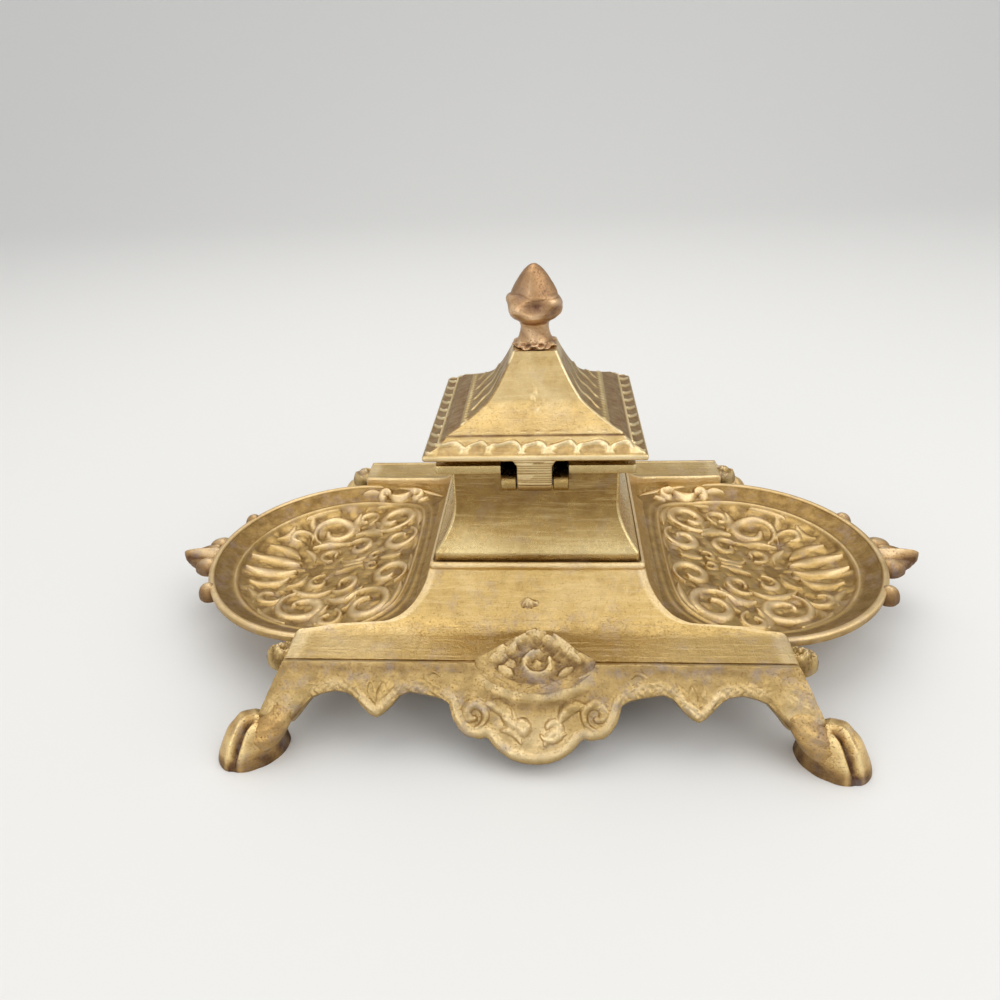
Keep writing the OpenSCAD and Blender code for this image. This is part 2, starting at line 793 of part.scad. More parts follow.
module lid() {
    color(brass) difference() {
        union() {
            difference() {
                square_turned(far) lid_outline();
                square_turned(far) lid_hollow_outline();
            }
            lid_tongue();
        }
        on_pin_line(far, pin_d / 2 + run_gap);
        rod(crown_z - 2 * roof_t, crown_z + 1, stud_d / 2 + run_gap);
    }
}

// Outline of the finial: collar, neck, bud and pointed tip, from its foot up
module finial_outline() {
    bud = collar_h + neck_h;
    cusp = bud + bud_h;
    polygon(concat(
        [[0, 0], [collar_r, 0], [collar_r, collar_h * 0.5], [collar_r * 0.8, collar_h],
         [neck_r, collar_h + 0.8], [neck_r, bud - 0.6]],
        [for (f = [[0.62, 0], [0.93, 0.25], [1, 0.55], [0.95, 0.85], [0.86, 1]])
            [bud_r * f[0], bud + bud_h * f[1]]],
        [for (f = [[0.68, 0.28], [0.44, 0.6], [0.2, 0.93], [0, 1]])
            [bud_r * f[0], cusp + tip_h * f[1]]]));
}

// Bud-shaped finial with the stud that holds it
module finial() {
    color(copper_brass) translate([0, 0, crown_z]) {
        rotate_extrude() finial_outline();
        rod(-stud_l, 1, stud_d / 2);
    }
}

module finial_washer() {
    top = crown_z - roof_t;
    color(brass) difference() {
        rod(top - washer_t, top, lid_washer_d / 2);
        rod(top - washer_t - 1, top + 1, stud_d / 2 + run_gap);
    }
}

module finial_nut() {
    top = crown_z - roof_t - washer_t;
    color(brass) difference() {
        translate([0, 0, top - lid_nut_h]) cylinder(h = lid_nut_h, r = lid_nut_d / 2, $fn = 6);
        rod(top - lid_nut_h - 1, top + 1, stud_d / 2 + fixed_gap);
    }
}

tray_plate();
front_leg_rail();
rear_leg_rail();
front_rail_screws();
rear_rail_screws();
well_box();
well_screw();
well_washer();
well_nut();
ink_pot();
hinge_pin();
lid();
finial();
finial_washer();
finial_nut();
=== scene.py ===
import bmesh
import bpy
import numpy as np
from mathutils import Matrix


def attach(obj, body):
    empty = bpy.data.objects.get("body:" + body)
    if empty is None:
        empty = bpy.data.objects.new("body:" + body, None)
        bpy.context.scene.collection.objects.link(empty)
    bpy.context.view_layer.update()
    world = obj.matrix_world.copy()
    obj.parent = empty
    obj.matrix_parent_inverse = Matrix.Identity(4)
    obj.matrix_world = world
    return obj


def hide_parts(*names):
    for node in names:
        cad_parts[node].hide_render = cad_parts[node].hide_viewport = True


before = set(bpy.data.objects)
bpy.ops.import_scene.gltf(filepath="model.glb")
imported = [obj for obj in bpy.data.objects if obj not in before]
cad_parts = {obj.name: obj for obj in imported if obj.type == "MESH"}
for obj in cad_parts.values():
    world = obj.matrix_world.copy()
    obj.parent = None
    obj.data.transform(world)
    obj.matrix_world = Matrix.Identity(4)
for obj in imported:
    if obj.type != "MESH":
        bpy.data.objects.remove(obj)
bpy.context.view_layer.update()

# ---- The cast plate: saddle under the box and the two straight strips ----
# One thin sand casting in yellow brass, rubbed bright on top. The saddle sweeps
# down to the strips front and back, and its flanks fall in a cove into the trays.

strip_x, strip_y, strip_z = 79.0, 66.8, 27.0
saddle_z, sweep_from, sweep_run = 39.6, 36.6, 19.2
strip_foot = 21.5
flank_run = 12.0
edge_round = 1.1
casting_wall = 2.4


def cells(nu, nv, wrap_u, wrap_v):
    """Faces of a grid: each cell joins (i, j), (i + 1, j), (i + 1, j + 1), (i, j + 1)."""
    i, j = np.meshgrid(np.arange(nu if wrap_u else nu - 1), np.arange(nv if wrap_v else nv - 1), indexing="ij")
    up, across = (i + 1) % nu, (j + 1) % nv
    return np.stack([i * nv + j, up * nv + j, up * nv + across, i * nv + across], -1).reshape(-1, 4)


def casting(name, surfaces, sharp=38):
    """One mesh from grid surfaces given in mm. Each is (points, relief, wrap_u, wrap_v);
    relief is -1 in a hollow, 0 on the flat and 1 on a worn ridge; its dark end also carries painted shade, its bright
    end painted highlight. Doubles are merged and faces turned out."""
    points, relief, faces, start = [], [], [], 0
    for grid, mark, wrap_u, wrap_v in surfaces:
        nu, nv = grid.shape[:2]
        points.append(grid.reshape(-1, 3))
        relief.append(np.broadcast_to(mark, (nu, nv)).reshape(-1))
        faces.append(cells(nu, nv, wrap_u, wrap_v) + start)
        start += nu * nv
    points, relief, faces = np.concatenate(points), np.concatenate(relief), np.concatenate(faces)
    mesh = bpy.data.meshes.new(name)
    mesh.vertices.add(len(points))
    mesh.vertices.foreach_set("co", (points * 0.001).ravel())
    mesh.loops.add(faces.size)
    mesh.loops.foreach_set("vertex_index", faces.ravel())
    mesh.polygons.add(len(faces))
    mesh.polygons.foreach_set("loop_start", np.arange(len(faces)) * 4)
    mesh.update(calc_edges=True)
    mesh.attributes.new("relief", "FLOAT", "POINT").data.foreach_set("value", relief.astype(np.float32))
    work = bmesh.new()
    work.from_mesh(mesh)
    bmesh.ops.remove_doubles(work, verts=work.verts, dist=2e-5)
    bmesh.ops.dissolve_degenerate(work, edges=work.edges, dist=1e-6)
    bmesh.ops.recalc_face_normals(work, faces=work.faces)
    work.to_mesh(mesh)
    work.free()
    mesh.polygons.foreach_set("use_smooth", np.ones(len(mesh.polygons), bool))
    mesh.set_sharp_from_angle(angle=np.radians(sharp))
    piece = bpy.data.objects.new(name, mesh)
    bpy.context.scene.collection.objects.link(piece)
    return piece


def four_ways(grid, mark, wrap_u, wrap_v):
    """The same surface in all four quarters: mirrored in X, in Y and in both."""
    return [(grid * np.array([sx, sy, 1.0]), mark, wrap_u, wrap_v) for sx in (1, -1) for sy in (1, -1)]


def sweep_height(y):
    """Level to |y| = 36.6, then a hollow curve down to the strip: 27 + 12.6 (1 - s)^1.8."""
    s = np.clip((np.abs(y) - sweep_from) / sweep_run, 0, 1)
    return strip_z + (saddle_z - strip_z) * (1 - s) ** 1.8


def along_line(corners, count, soften):
    """Points evenly spaced along a line of corners, each then averaged with its neighbours."""
    corners = np.array(corners, float)
    steps = np.hypot(*np.diff(corners, axis=0).T)
    length = np.concatenate([[0], np.cumsum(steps)])
    at = np.linspace(0, length[-1], count)
    line = np.stack([np.interp(at, length, corners[:, 0]), np.interp(at, length, corners[:, 1])], -1)
    for _ in range(soften):
        line[1:-1] = 0.25 * line[:-2] + 0.5 * line[1:-1] + 0.25 * line[2:]
    return line


def saddle_quarter(rows=150, across=30, turn=14):
    """Rows fan out from the middle line to the edge beside the tray. Each row is a loop: the top,
    a rounded edge, a quarter-ellipse cove down to the tray, the cove's inside, and the underside."""
    edge = along_line([(36.0, 0), (36.0, 32), (36.5, 37.6), (38.6, 41.2), (41.2, 44.5), (44.8, 47.6), (49.2, 49.5),
                       (58.4, 50), (68.2, 50.6), (72, 51.8), (77.6, 52.4), (79, 53.4), (79, 66.8)], rows, 5)
    tangent = np.gradient(edge, axis=0)
    tangent /= np.linalg.norm(tangent, axis=1)[:, None]
    out = np.stack([tangent[:, 1], -tangent[:, 0]], -1)
    out[-1] = out[-2] = (1, 0)
    bend = np.argmax(edge[:, 1] > 31) / (rows - 1)
    middle = np.interp(np.linspace(0, 1, rows), [0, bend, 1], [0, 31, strip_y])
    edge_z = sweep_height(edge[:, 1])
    run = flank_run * (np.clip(edge_z - 24, 0, None) / 15.6) ** 1.5
    run[edge[:, 0] > 78.5] = 0.3
    q = np.linspace(0, 1, across)[None, :, None]
    centre = np.stack([np.zeros(rows), middle], -1)[:, None, :]

    def sheet(inset):
        reach = (edge - out * inset)[:, None, :]
        return centre + (reach - centre) * q

    top = sheet(edge_round)
    top = np.concatenate([top, sweep_height(top[..., 1:2])], -1)
    b = np.linspace(0.25, 1, 4)[None, :, None] * np.pi / 2
    curb = edge[:, None, :] - out[:, None, :] * edge_round * (1 - np.sin(b))
    curb_z = (edge_z[:, None] - edge_round * (1 - np.cos(b[..., 0])))
    raise_by = np.clip((edge_z - strip_z) / (saddle_z - strip_z), 0, 1)[:, None]
    high, foot = edge_z[:, None] + 2.0, strip_foot + 1.3 * raise_by
    begin = np.arcsin((2.0 + edge_round) / (high - foot))
    a = begin + (np.pi / 2 - begin) * np.linspace(0.04, 1, turn)[None, :]
    cove = edge[:, None, :] + out[:, None, :] * (run[:, None] * (np.cos(begin) - np.cos(a)))[..., None]
    cove_z = high - (high - foot) * np.sin(a)
    under = sheet(casting_wall + 0.3)
    s = np.clip((np.abs(under[..., 1:2]) - sweep_from) / sweep_run, 0, 1)
    under = np.concatenate([under, np.maximum(sweep_height(under[..., 1:2]) - 2.0 - 3.5 * s, strip_foot)], -1)
    lip_z = under[:, -1, 2:3]
    inside = edge[:, None, :] + out[:, None, :] * (run[:, None] * (1 - np.cos(a)) - casting_wall - 1.0 * raise_by)[..., None]
    inside_z = lip_z + (foot - 2.8 * raise_by - lip_z) * np.sin(a)
    first = under[:, -1:, :].repeat(4, 1)
    loop = np.concatenate([top,
                           np.concatenate([curb, curb_z[..., None]], -1),
                           np.concatenate([cove, cove_z[..., None]], -1),
                           np.concatenate([inside, inside_z[..., None]], -1)[:, ::-1],
                           first, under[:, ::-1]], 1)
    end = 0.5 * (loop[-1:] + loop[-1:, ::-1])
    loop = np.concatenate([loop, end], 0)
    count = loop.shape[1]
    mark = np.zeros(loop.shape[:2])
    mark[:, across - 2:across + 6] = 0.75
    mark[:rows, across + 7:across + 4 + turn] = -0.4 * raise_by
    mark[:, count // 2:] = -0.5
    notch = strip_y - 9.0 * np.clip(1 - loop[..., 0] / 16.4, 0, 1)
    far = np.clip(loop[..., 1] - 50, 0, None)
    loop[..., 1] = np.where(far > 0, 50 + far * (notch - 50) / (strip_y - 50), loop[..., 1])
    return loop, mark


grid, mark = saddle_quarter()
saddle = casting("saddle_and_strips", four_ways(grid, mark, False, False))


def brass_patina_and_shading():
    """Node group shared by every cast piece. Colour runs from the dark hollow tone through the body to the
    rubbed tone by the relief mark and broad noise; the dark end is patina and painted shade, the bright end wear and
    painted highlight.
    Grey polish lies in broad noise patches; height holds pits and scratches."""
    group = bpy.data.node_groups.new("brass_patina_and_shading", "ShaderNodeTree")
    sockets = group.interface
    for label, kind, value in [("Place", "NodeSocketVector", None), ("Relief", "NodeSocketFloat", 0.0),
                               ("Hollow", "NodeSocketColor", (0.1, 0.05, 0.01, 1)),
                               ("Body", "NodeSocketColor", (0.5, 0.3, 0.1, 1)),
                               ("Rubbed And Highlight", "NodeSocketColor", (0.8, 0.6, 0.3, 1)),
                               ("Residue", "NodeSocketColor", (0.35, 0.32, 0.33, 1)),
                               ("Residue Amount", "NodeSocketFloat", 0.2),
                               ("Pitting", "NodeSocketFloat", 0.5),
                               ("Scratches", "NodeSocketFloat", 0.4),
                               ("Dullness", "NodeSocketFloat", 0.36)]:
        socket = sockets.new_socket(label, in_out="INPUT", socket_type=kind)
        if value is not None:
            socket.default_value = value
    for label, kind in [("Color", "NodeSocketColor"), ("Roughness", "NodeSocketFloat"), ("Height", "NodeSocketFloat")]:
        sockets.new_socket(label, in_out="OUTPUT", socket_type=kind)
    tree = group.nodes
    taken, given = tree.new("NodeGroupInput"), tree.new("NodeGroupOutput")

    def wire(a, b):
        group.links.new(a, b)

    def maths(kind, a, b, clamp=False):
        node = tree.new("ShaderNodeMath")
        node.operation, node.use_clamp = kind, clamp
        for slot, value in enumerate((a, b)):
            if isinstance(value, (int, float)):
                node.inputs[slot].default_value = value
            else:
                wire(value, node.inputs[slot])
        return node.outputs[0]

    def noise(scale, detail=4.0, rough=0.55, stretch=None):
        place = taken.outputs["Place"]
        if stretch:
            turn = tree.new("ShaderNodeMapping")
            turn.inputs["Scale"].default_value = stretch
            turn.inputs["Rotation"].default_value = (0.1, 0.2, 0.5)
            wire(place, turn.inputs["Vector"])
            place = turn.outputs["Vector"]
        node = tree.new("ShaderNodeTexNoise")
        node.inputs["Scale"].default_value = scale
        node.inputs["Detail"].default_value = detail
        node.inputs["Roughness"].default_value = rough
        wire(place, node.inputs["Vector"])
        return node.outputs["Fac"]

    def spread(value, low, high):
        node = tree.new("ShaderNodeMapRange")
        node.inputs["From Min"].default_value, node.inputs["From Max"].default_value = low, high
        wire(value, node.inputs["Value"])
        return node.outputs["Result"]

    def blend(amount, a, b):
        node = tree.new("ShaderNodeMix")
        node.data_type = "RGBA"
        wire(amount, node.inputs["Factor"])
        wire(a, node.inputs["A"])
        wire(b, node.inputs["B"])
        return node.outputs["Result"]

    broad = spread(noise(55, 5, 0.6), 0.3, 0.7)
    patch = spread(noise(210, 5, 0.65), 0.32, 0.68)
    grain = noise(900, 4, 0.6)
    pits = spread(noise(1700, 3, 0.6), 0.56, 0.78)
    streak = spread(noise(60, 5, 0.7, (1.0, 14.0, 14.0)), 0.5, 0.72)
    cross = spread(noise(70, 4, 0.7, (12.0, 1.2, 12.0)), 0.55, 0.75)
    relief = taken.outputs["Relief"]
    uneven = maths("MULTIPLY", maths("SUBTRACT", patch, 0.5), 0.5)
    low = maths("ADD", maths("MULTIPLY", relief, -1.0), uneven, True)
    high = maths("ADD", relief, maths("MULTIPLY", maths("SUBTRACT", broad, 0.5), 0.8), True)
    # painted shade and highlight: low relief marks pull the colour to the hollow tone (patina and painted shade), high
    # ones to the rubbed tone (wear and painted highlight)
    tone = blend(low, taken.outputs["Body"], taken.outputs["Hollow"])
    tone = blend(high, tone, taken.outputs["Rubbed And Highlight"])
    dark = maths("MULTIPLY", maths("MULTIPLY", pits, taken.outputs["Pitting"]), 0.75)
    tone = blend(dark, tone, taken.outputs["Hollow"])
    veil = maths("MULTIPLY", maths("MULTIPLY", streak, taken.outputs["Scratches"]), 0.5)
    tone = blend(veil, tone, taken.outputs["Rubbed And Highlight"])
    film = maths("MULTIPLY", spread(noise(130, 6, 0.7), 0.52, 0.66), taken.outputs["Residue Amount"], True)
    tone = blend(film, tone, taken.outputs["Residue"])
    wire(tone, given.inputs["Color"])
    rough = maths("ADD", taken.outputs["Dullness"], maths("MULTIPLY", maths("SUBTRACT", patch, 0.5), 0.14))
    rough = maths("ADD", rough, maths("MULTIPLY", film, 0.35))
    rough = maths("ADD", rough, maths("MULTIPLY", maths("ADD", low, dark), 0.16), True)
    wire(rough, given.inputs["Roughness"])
    height = maths("MULTIPLY", maths("SUBTRACT", grain, 0.5), 0.5)
    height = maths("SUBTRACT", height, maths("MULTIPLY", pits, taken.outputs["Pitting"]))
    height = maths("ADD", height, maths("MULTIPLY", patch, 0.35))
    marks = maths("MULTIPLY", maths("ADD", streak, cross), taken.outputs["Scratches"])
    height = maths("ADD", height, maths("MULTIPLY", marks, 0.35))
    wire(height, given.inputs["Height"])
    return group


patina = brass_patina_and_shading()


def brass(name, hollow, body, rubbed, residue_amount=0.2, pitting=0.5, scratches=0.4, dullness=0.36,
          residue=(0.30, 0.27, 0.29), depth=0.00018, metal=1.0):
    """A brass finish: the patina and painted shading group read from Object coordinates and the piece's relief mark.
    The hollow colour serves patina and painted shade, the rubbed colour wear and painted highlight.
    """
    finish = bpy.data.materials.new(name)
    finish.use_nodes = True
    tree = finish.node_tree
    shader = tree.nodes["Principled BSDF"]
    shader.inputs["Metallic"].default_value = metal
    place = tree.nodes.new("ShaderNodeTexCoord")
    mark = tree.nodes.new("ShaderNodeAttribute")
    mark.attribute_name = "relief"
    # this group node paints patina, wear, and painted shade and highlight from the relief mark
    worn = tree.nodes.new("ShaderNodeGroup")
    worn.node_tree = patina
    for label, colour in (("Hollow", hollow), ("Body", body), ("Rubbed And Highlight", rubbed), ("Residue", residue)):
        worn.inputs[label].default_value = (*colour, 1)
    worn.inputs["Residue Amount"].default_value = residue_amount
    worn.inputs["Pitting"].default_value = pitting
    worn.inputs["Scratches"].default_value = scratches
    worn.inputs["Dullness"].default_value = dullness
    bump = tree.nodes.new("ShaderNodeBump")
    bump.inputs["Distance"].default_value = depth
    bump.inputs["Strength"].default_value = 1.0
    tree.links.new(place.outputs["Object"], worn.inputs["Place"])
    tree.links.new(mark.outputs["Fac"], worn.inputs["Relief"])
    tree.links.new(worn.outputs["Color"], shader.inputs["Base Color"])
    tree.links.new(worn.outputs["Roughness"], shader.inputs["Roughness"])
    tree.links.new(worn.outputs["Height"], bump.inputs["Height"])
    tree.links.new(bump.outputs["Normal"], shader.inputs["Normal"])
    return finish


def dress(piece, finish, body, slot, *nodes):
    """Gives a piece its finish and the body it rides on, and hides the CAD nodes it stands for. The slot argument is
    not used.
    """
    piece.data.materials.clear()
    piece.data.materials.append(finish)
    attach(piece, body)
    if nodes:
        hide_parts(*nodes)


plate_brass = brass("plate_brass", (0.24, 0.14, 0.045), (0.55, 0.38, 0.145), (0.80, 0.62, 0.34),
                    residue_amount=0.34, pitting=0.42, scratches=0.8, residue=(0.42, 0.34, 0.30), depth=0.00026)
dress(saddle, plate_brass, "stand", "plate_brass", "tray_plate")


# ---- The ledge under the box ----
# Part of the same casting: a square step with a small bead round its edge,
# on which the box's foot stands.

ledge_half, ledge_top = 36.0, 41.6


def round_square(half, corner, slots, bends):
    """Points round a square of half-width w with corners rounded to c: each side runs from -(w - c) to
    w - c by the slots given (-1 to 1), then turns through a quarter circle. All four sides are turned copies."""
    half, corner = np.asarray(half, float)[:, None], np.asarray(corner, float)[:, None]
    flat = half - corner
    turn = np.linspace(0, 1, bends + 2)[1:-1][None, :] * np.pi / 2
    x = np.concatenate([half + 0 * slots[None, :], flat + corner * np.cos(turn)], 1)
    y = np.concatenate([flat * slots[None, :], flat + corner * np.sin(turn)], 1)
    return np.concatenate([x, -y, -x, y], 1), np.concatenate([y, x, -y, -x], 1)


def stacked(profile, corner, slots, bends):
    """A profile of (half-width, height) pairs carried round a rounded square: one grid row for each pair."""
    profile = np.array(profile, float)
    corner = np.minimum(np.broadcast_to(corner, len(profile)), profile[:, 0] * 0.9)
    x, y = round_square(profile[:, 0], corner, slots, bends)
    return np.stack([x, y, profile[:, 1][:, None] + 0 * x], -1)


ledge_profile = [(0, 38.4), (35.4, 38.4), (35.9, 38.9), (36.0, 39.6), (36.0, 40.4), (35.7, 41.2), (35.3, 41.5),
                 (34.9, 41.55), (34.6, 41.3), (34.4, 41.2), (33.6, 41.2), (0, 41.2)]
grid = stacked(ledge_profile, 1.4, np.linspace(-1, 1, 30), 5)
mark = np.zeros(grid.shape[:2])
mark[4:8], mark[8:11] = 0.9, -0.9
ledge = casting("box_ledge", [(grid, mark, False, True)])
dress(ledge, plate_brass, "stand", "plate_brass")


# ---- The two round trays with their cast ornament ----
# Shallow bowls of the same casting, rising in a ramp to the saddle. Scrolls, curls
# and a palmette stand on the floor inside a ring, worn bright over a brown ground: the dark ground is patina and
# painted shade, the bright tops wear and painted highlight.

tray_x, tray_r, rim_z = 73.8, 53.2, 23.2
bowl_r, bowl_floor = 50.8, 14.0
ramp_from, ramp_to = 48.0, 84.0
ring_r = 44.5


def curl(cx, cy, r0, r1, start, sweep, width=1.1, high=0.9):
    """A curl: points at angle start + sweep * t and radius r0 to r1, thin at its outer end and blunt at its eye."""
    t = np.linspace(0, 1, 26)
    angle = np.radians(start + sweep * t)
    radius = r0 + (r1 - r0) * t
    line = np.stack([cx + radius * np.cos(angle), cy + radius * np.sin(angle)], -1)
    return line, width * 1.2 * (0.2 + 0.8 * np.sin(np.pi * (0.04 + 0.84 * t)) ** 0.9), high


def frond(x0, y0, x1, y1, bend, width=1.6, high=0.9):
    """A leaf stroke: a line from one point to another bowed sideways by bend, widest past its middle."""
    t = np.linspace(0, 1, 16)
    side = np.array([-(y1 - y0), x1 - x0]) / np.hypot(x1 - x0, y1 - y0)
    line = np.outer(1 - t, (x0, y0)) + np.outer(t, (x1, y1)) + np.outer(np.sin(np.pi * t) * bend, side)
    return line, width * 1.2 * np.sin(np.pi * np.clip(t * 0.93 + 0.03, 0, 1)) ** 0.7 + 0.12, high


def stroke_height(x, y, strokes):
    """The height over a point is the greatest, over all strokes, of high * (1 - (distance / half width)^2)^0.85."""
    height = np.zeros(x.size)
    spot = np.stack([x.ravel(), y.ravel()], -1)
    for line, width, high in strokes:
        reach = width.max()
        near = np.nonzero(((spot > line.min(0) - reach) & (spot < line.max(0) + reach)).all(1))[0]
        if not len(near):
            continue
        a, step = line[:-1], np.diff(line, axis=0)
        away = spot[near][:, None, :] - a[None]
        t = np.clip((away * step).sum(-1) / (step ** 2).sum(-1), 0, 1)
        gap = np.linalg.norm(away - t[..., None] * step[None], axis=-1)
        half = width[:-1] + (width[1:] - width[:-1]) * t
        lift = high * np.clip(1 - (gap / half) ** 2, 0, 1) ** 0.85
        height[near] = np.maximum(height[near], lift.max(1))
    return height.reshape(x.shape)


def tray_ground(x, y):
    """Smooth floor: the bowl 14 + 9.2 (r / 50.8)^4 or the ramp by the saddle, whichever is higher, with a soft join."""
    r = np.hypot(x - tray_x, y)
    bowl = bowl_floor + (rim_z - bowl_floor) * np.clip(r / bowl_r, 0, 1.02) ** 4
    ramp = bowl_floor + (23.2 - bowl_floor) * (ramp_to - x) / (ramp_to - ramp_from)
    apart = bowl - ramp
    return 0.5 * (bowl + ramp + np.sqrt(apart ** 2 + 1.0))


half_pattern = [
    curl(56.6, 12.2, 7.6, 2.6, 120, 380, 1.9, 1.5), curl(61.8, 29.6, 10.0, 3.2, 330, -430, 2.1, 1.6),
    curl(86.8, 26.0, 9.8, 3.6, 300, 400, 2.2, 1.6), curl(73.8, 12.8, 5.6, 2.2, 40, 330, 1.7, 1.3),
    curl(74.8, 34.2, 5.0, 2.2, 250, -330, 1.6, 1.3), curl(100.8, 20.4, 5.2, 2.2, 200, -300, 1.6, 1.3),
    curl(85.2, 9.2, 4.4, 2.0, 250, 300, 1.6, 1.2), curl(65.0, 3.2, 2.8, 1.4, 150, -280, 1.2, 1.0),
    frond(50.0, 20.5, 54.2, 35.0, 1.4, 1.9, 1.3), frond(49.4, 2.0, 49.8, 15.0, 0.7, 1.3, 0.9),
    frond(65.4, 18.4, 77.5, 22.4, 2.8, 2.4, 1.4), frond(78.5, 16.6, 94.0, 14.6, 2.2, 1.9, 1.3),
    frond(77.0, 26.5, 78.5, 38.0, -2.0, 1.9, 1.2), frond(88.5, 39.6, 101.0, 31.2, 2.0, 2.2, 1.3),
    frond(95.4, 25.6, 98.0, 34.0, -1.4, 1.6, 1.1), frond(96.4, 2.2, 115.2, 3.8, 1.4, 2.7, 1.4),
    frond(97.6, 7.2, 111.0, 12.2, 2.2, 2.2, 1.2), frond(91.0, 4.6, 96.4, 12.4, 1.4, 1.6, 1.1),
    frond(60.5, 41.0, 72.0, 41.6, 1.4, 1.6, 1.1), frond(104.6, 26.4, 109.8, 17.4, -1.6, 1.6, 1.0),
    frond(69.0, 2.6, 79.6, 4.2, -1.2, 1.6, 1.1), frond(67.0, 22.5, 70.4, 30.0, 1.0, 1.6, 1.1),
]
axis_pattern = [frond(54.0, 0.0, 62.0, 0.0, 0.05, 1.8, 1.1), frond(69.5, 0.0, 77.5, 0.0, 0.05, 1.6, 1.1)]
for column in range(12):
    for row in range(7):
        px, py = 50.5 + 5.7 * column + 2.2 * (row % 2), 3.2 + 6.0 * row
        flow = 40 * np.sin(0.9 * column + 0.7 * row) + 25 * column - 20 * row
        half_pattern.append(curl(px, py, 3.9 + 0.7 * np.sin(3.1 * column + row), 1.4, flow, 190 * (-1) ** (column + row), 2.1, 0.55))
edge_pattern = [
    curl(55.0, 44.6, 3.2, 1.2, 20, 300, 1.6, 1.9), frond(57.6, 46.2, 66.0, 46.0, -1.2, 2.0, 1.9),
    curl(69.4, 46.8, 2.6, 1.0, 200, -300, 1.6, 1.7), frond(49.0, 41.0, 53.0, 40.2, 0.6, 1.6, 1.2),
    frond(71.6, 48.0, 79.0, 47.8, 0.8, 1.3, 1.0),
]


def tray_relief(x, y):
    """Ornament over the smooth floor: mirrored strokes inside the ring, and the ring itself as a low ridge
    along the line where r = 44.5 meets X = 46.2, joined by a rounded corner, with small scrolls past its ends."""
    r = np.hypot(x - tray_x, y)
    round_edge = 0.5 * (r - ring_r + 46.2 - x + np.sqrt((r - ring_r - 46.2 + x) ** 2 + 60.0))
    lift = stroke_height(x, np.abs(y), half_pattern + axis_pattern)
    inside = np.clip(-round_edge / 2.0, 0, 1)
    ring = np.maximum(0.8 * np.exp(-((round_edge + 0.4) / 0.9) ** 2), stroke_height(x, y, edge_pattern))
    ring = np.maximum(ring, 0.35 * np.exp(-((round_edge - 2.6) / 0.8) ** 2) * (x < 62))
    swell = 0.2 * np.sin(x * 0.45 + 1.3 * np.sin(y * 0.3)) * np.sin(y * 0.4 + 0.6)
    return np.maximum(lift * inside, ring) + swell * inside - 0.6 * inside, inside


def tray(sign, rings=142, spokes=600):
    """A polar grid closed over and under: radius runs to the outer edge, or to a plane at X = 40 towards
    the saddle. Over: ground plus relief, a rolled rim. Under: the ground less the wall, without relief."""
    angle = np.linspace(0, 2 * np.pi, spokes, endpoint=False)[None, :]
    toward = np.cos(angle)
    limit = np.where(toward < -0.3, (tray_x - 41.0) / np.clip(-toward, 0.3, 1), 99)
    edge = np.minimum(tray_r, limit)
    cut = edge < tray_r - 0.01
    q = np.linspace(0, 1, rings)[:, None]
    r = q * np.minimum(edge, bowl_r)
    x, y = tray_x + r * toward, r * np.sin(angle)
    ground = tray_ground(x, y)
    lift, inside = tray_relief(x, y)
    face = np.stack([x, y, ground + lift], -1)
    # tone by height: the sunk ground dark as patina and painted shade, the raised strokes bright as wear and painted
    # highlight
    tone = np.clip(lift * 1.0 - 0.0, -0.6, 0.85) * inside + (1 - inside) * np.clip(lift * 1.5 - 0.62, -1, 1)
    b = np.linspace(0, 1, 9)[1:, None] * np.pi
    roll = np.where(cut, edge, bowl_r + 1.2 - 1.2 * np.cos(b))
    rim = np.stack([tray_x + roll * toward, roll * np.sin(angle),
                    np.where(cut, face[-1:, :, 2] - 2.2 * b / np.pi, rim_z + 0.9 * np.sin(b))], -1)
    back_r = np.linspace(1, 0, 13)[:, None] * np.minimum(edge, tray_r)
    bx, by = tray_x + back_r * toward, back_r * np.sin(angle)
    back = np.stack([bx, by, tray_ground(bx, by) - 2.6], -1)
    grid = np.concatenate([face, rim, back], 0) * np.array([sign, 1, 1])
    mark = np.concatenate([tone, np.broadcast_to(0.8 * np.sin(b), rim.shape[:2]), np.full(back.shape[:2], -0.4)], 0)
    return grid, mark


tray_brass = brass("tray_brass", (0.17, 0.095, 0.03), (0.44, 0.29, 0.105), (0.76, 0.57, 0.31),
                   residue_amount=0.34, pitting=0.4, scratches=0.25, dullness=0.4, residue=(0.42, 0.34, 0.31))
for side, sign in (("right", 1), ("left", -1)):
    grid, mark = tray(sign)
    dish = casting(side + "_tray", [(grid, mark, False, True)])
    dress(dish, tray_brass, "stand", "plate_brass")


# ---- Leaves, balls and scroll knobs on the plate's outline ----
# Small lumps of the same casting, redder where fingers wear them: a pointed leaf with two
# round lobes at each tray's end, balls on the rim, and a pitted scroll at each strip end.

leaf_tip, leaf_root = 141.4, 124.0


def blob(outline, centre, top, low, dome, rings=26):
    """A low closed lump in plan: an outline radius by angle, over it a dome high * (1 - q^2)^dome,
    and a flat base. The rows run from the middle of the dome over the edge to the middle of the base."""
    angle = np.linspace(0, 2 * np.pi, len(outline), endpoint=False)[None, :]
    q = np.sin(np.linspace(0, 1, rings) * np.pi / 2)[:, None]
    over = np.stack([centre[0] + q * outline * np.cos(angle), centre[1] + q * outline * np.sin(angle),
                     low + (top - low) * np.clip(1 - q ** 2, 0, 1) ** dome + 0 * angle], -1)
    base = over[::-1][::6].copy()
    base[..., 2] = low - 0.6 * np.clip(1 - ((base[..., :2] - centre) ** 2).sum(-1) / outline.max() ** 2, 0, 1)
    mark = np.concatenate([np.clip(1.1 - 1.9 * q, -0.8, 0.9) + 0 * angle, np.full(base.shape[:2], -0.5)], 0)
    return np.concatenate([over, base], 0), mark


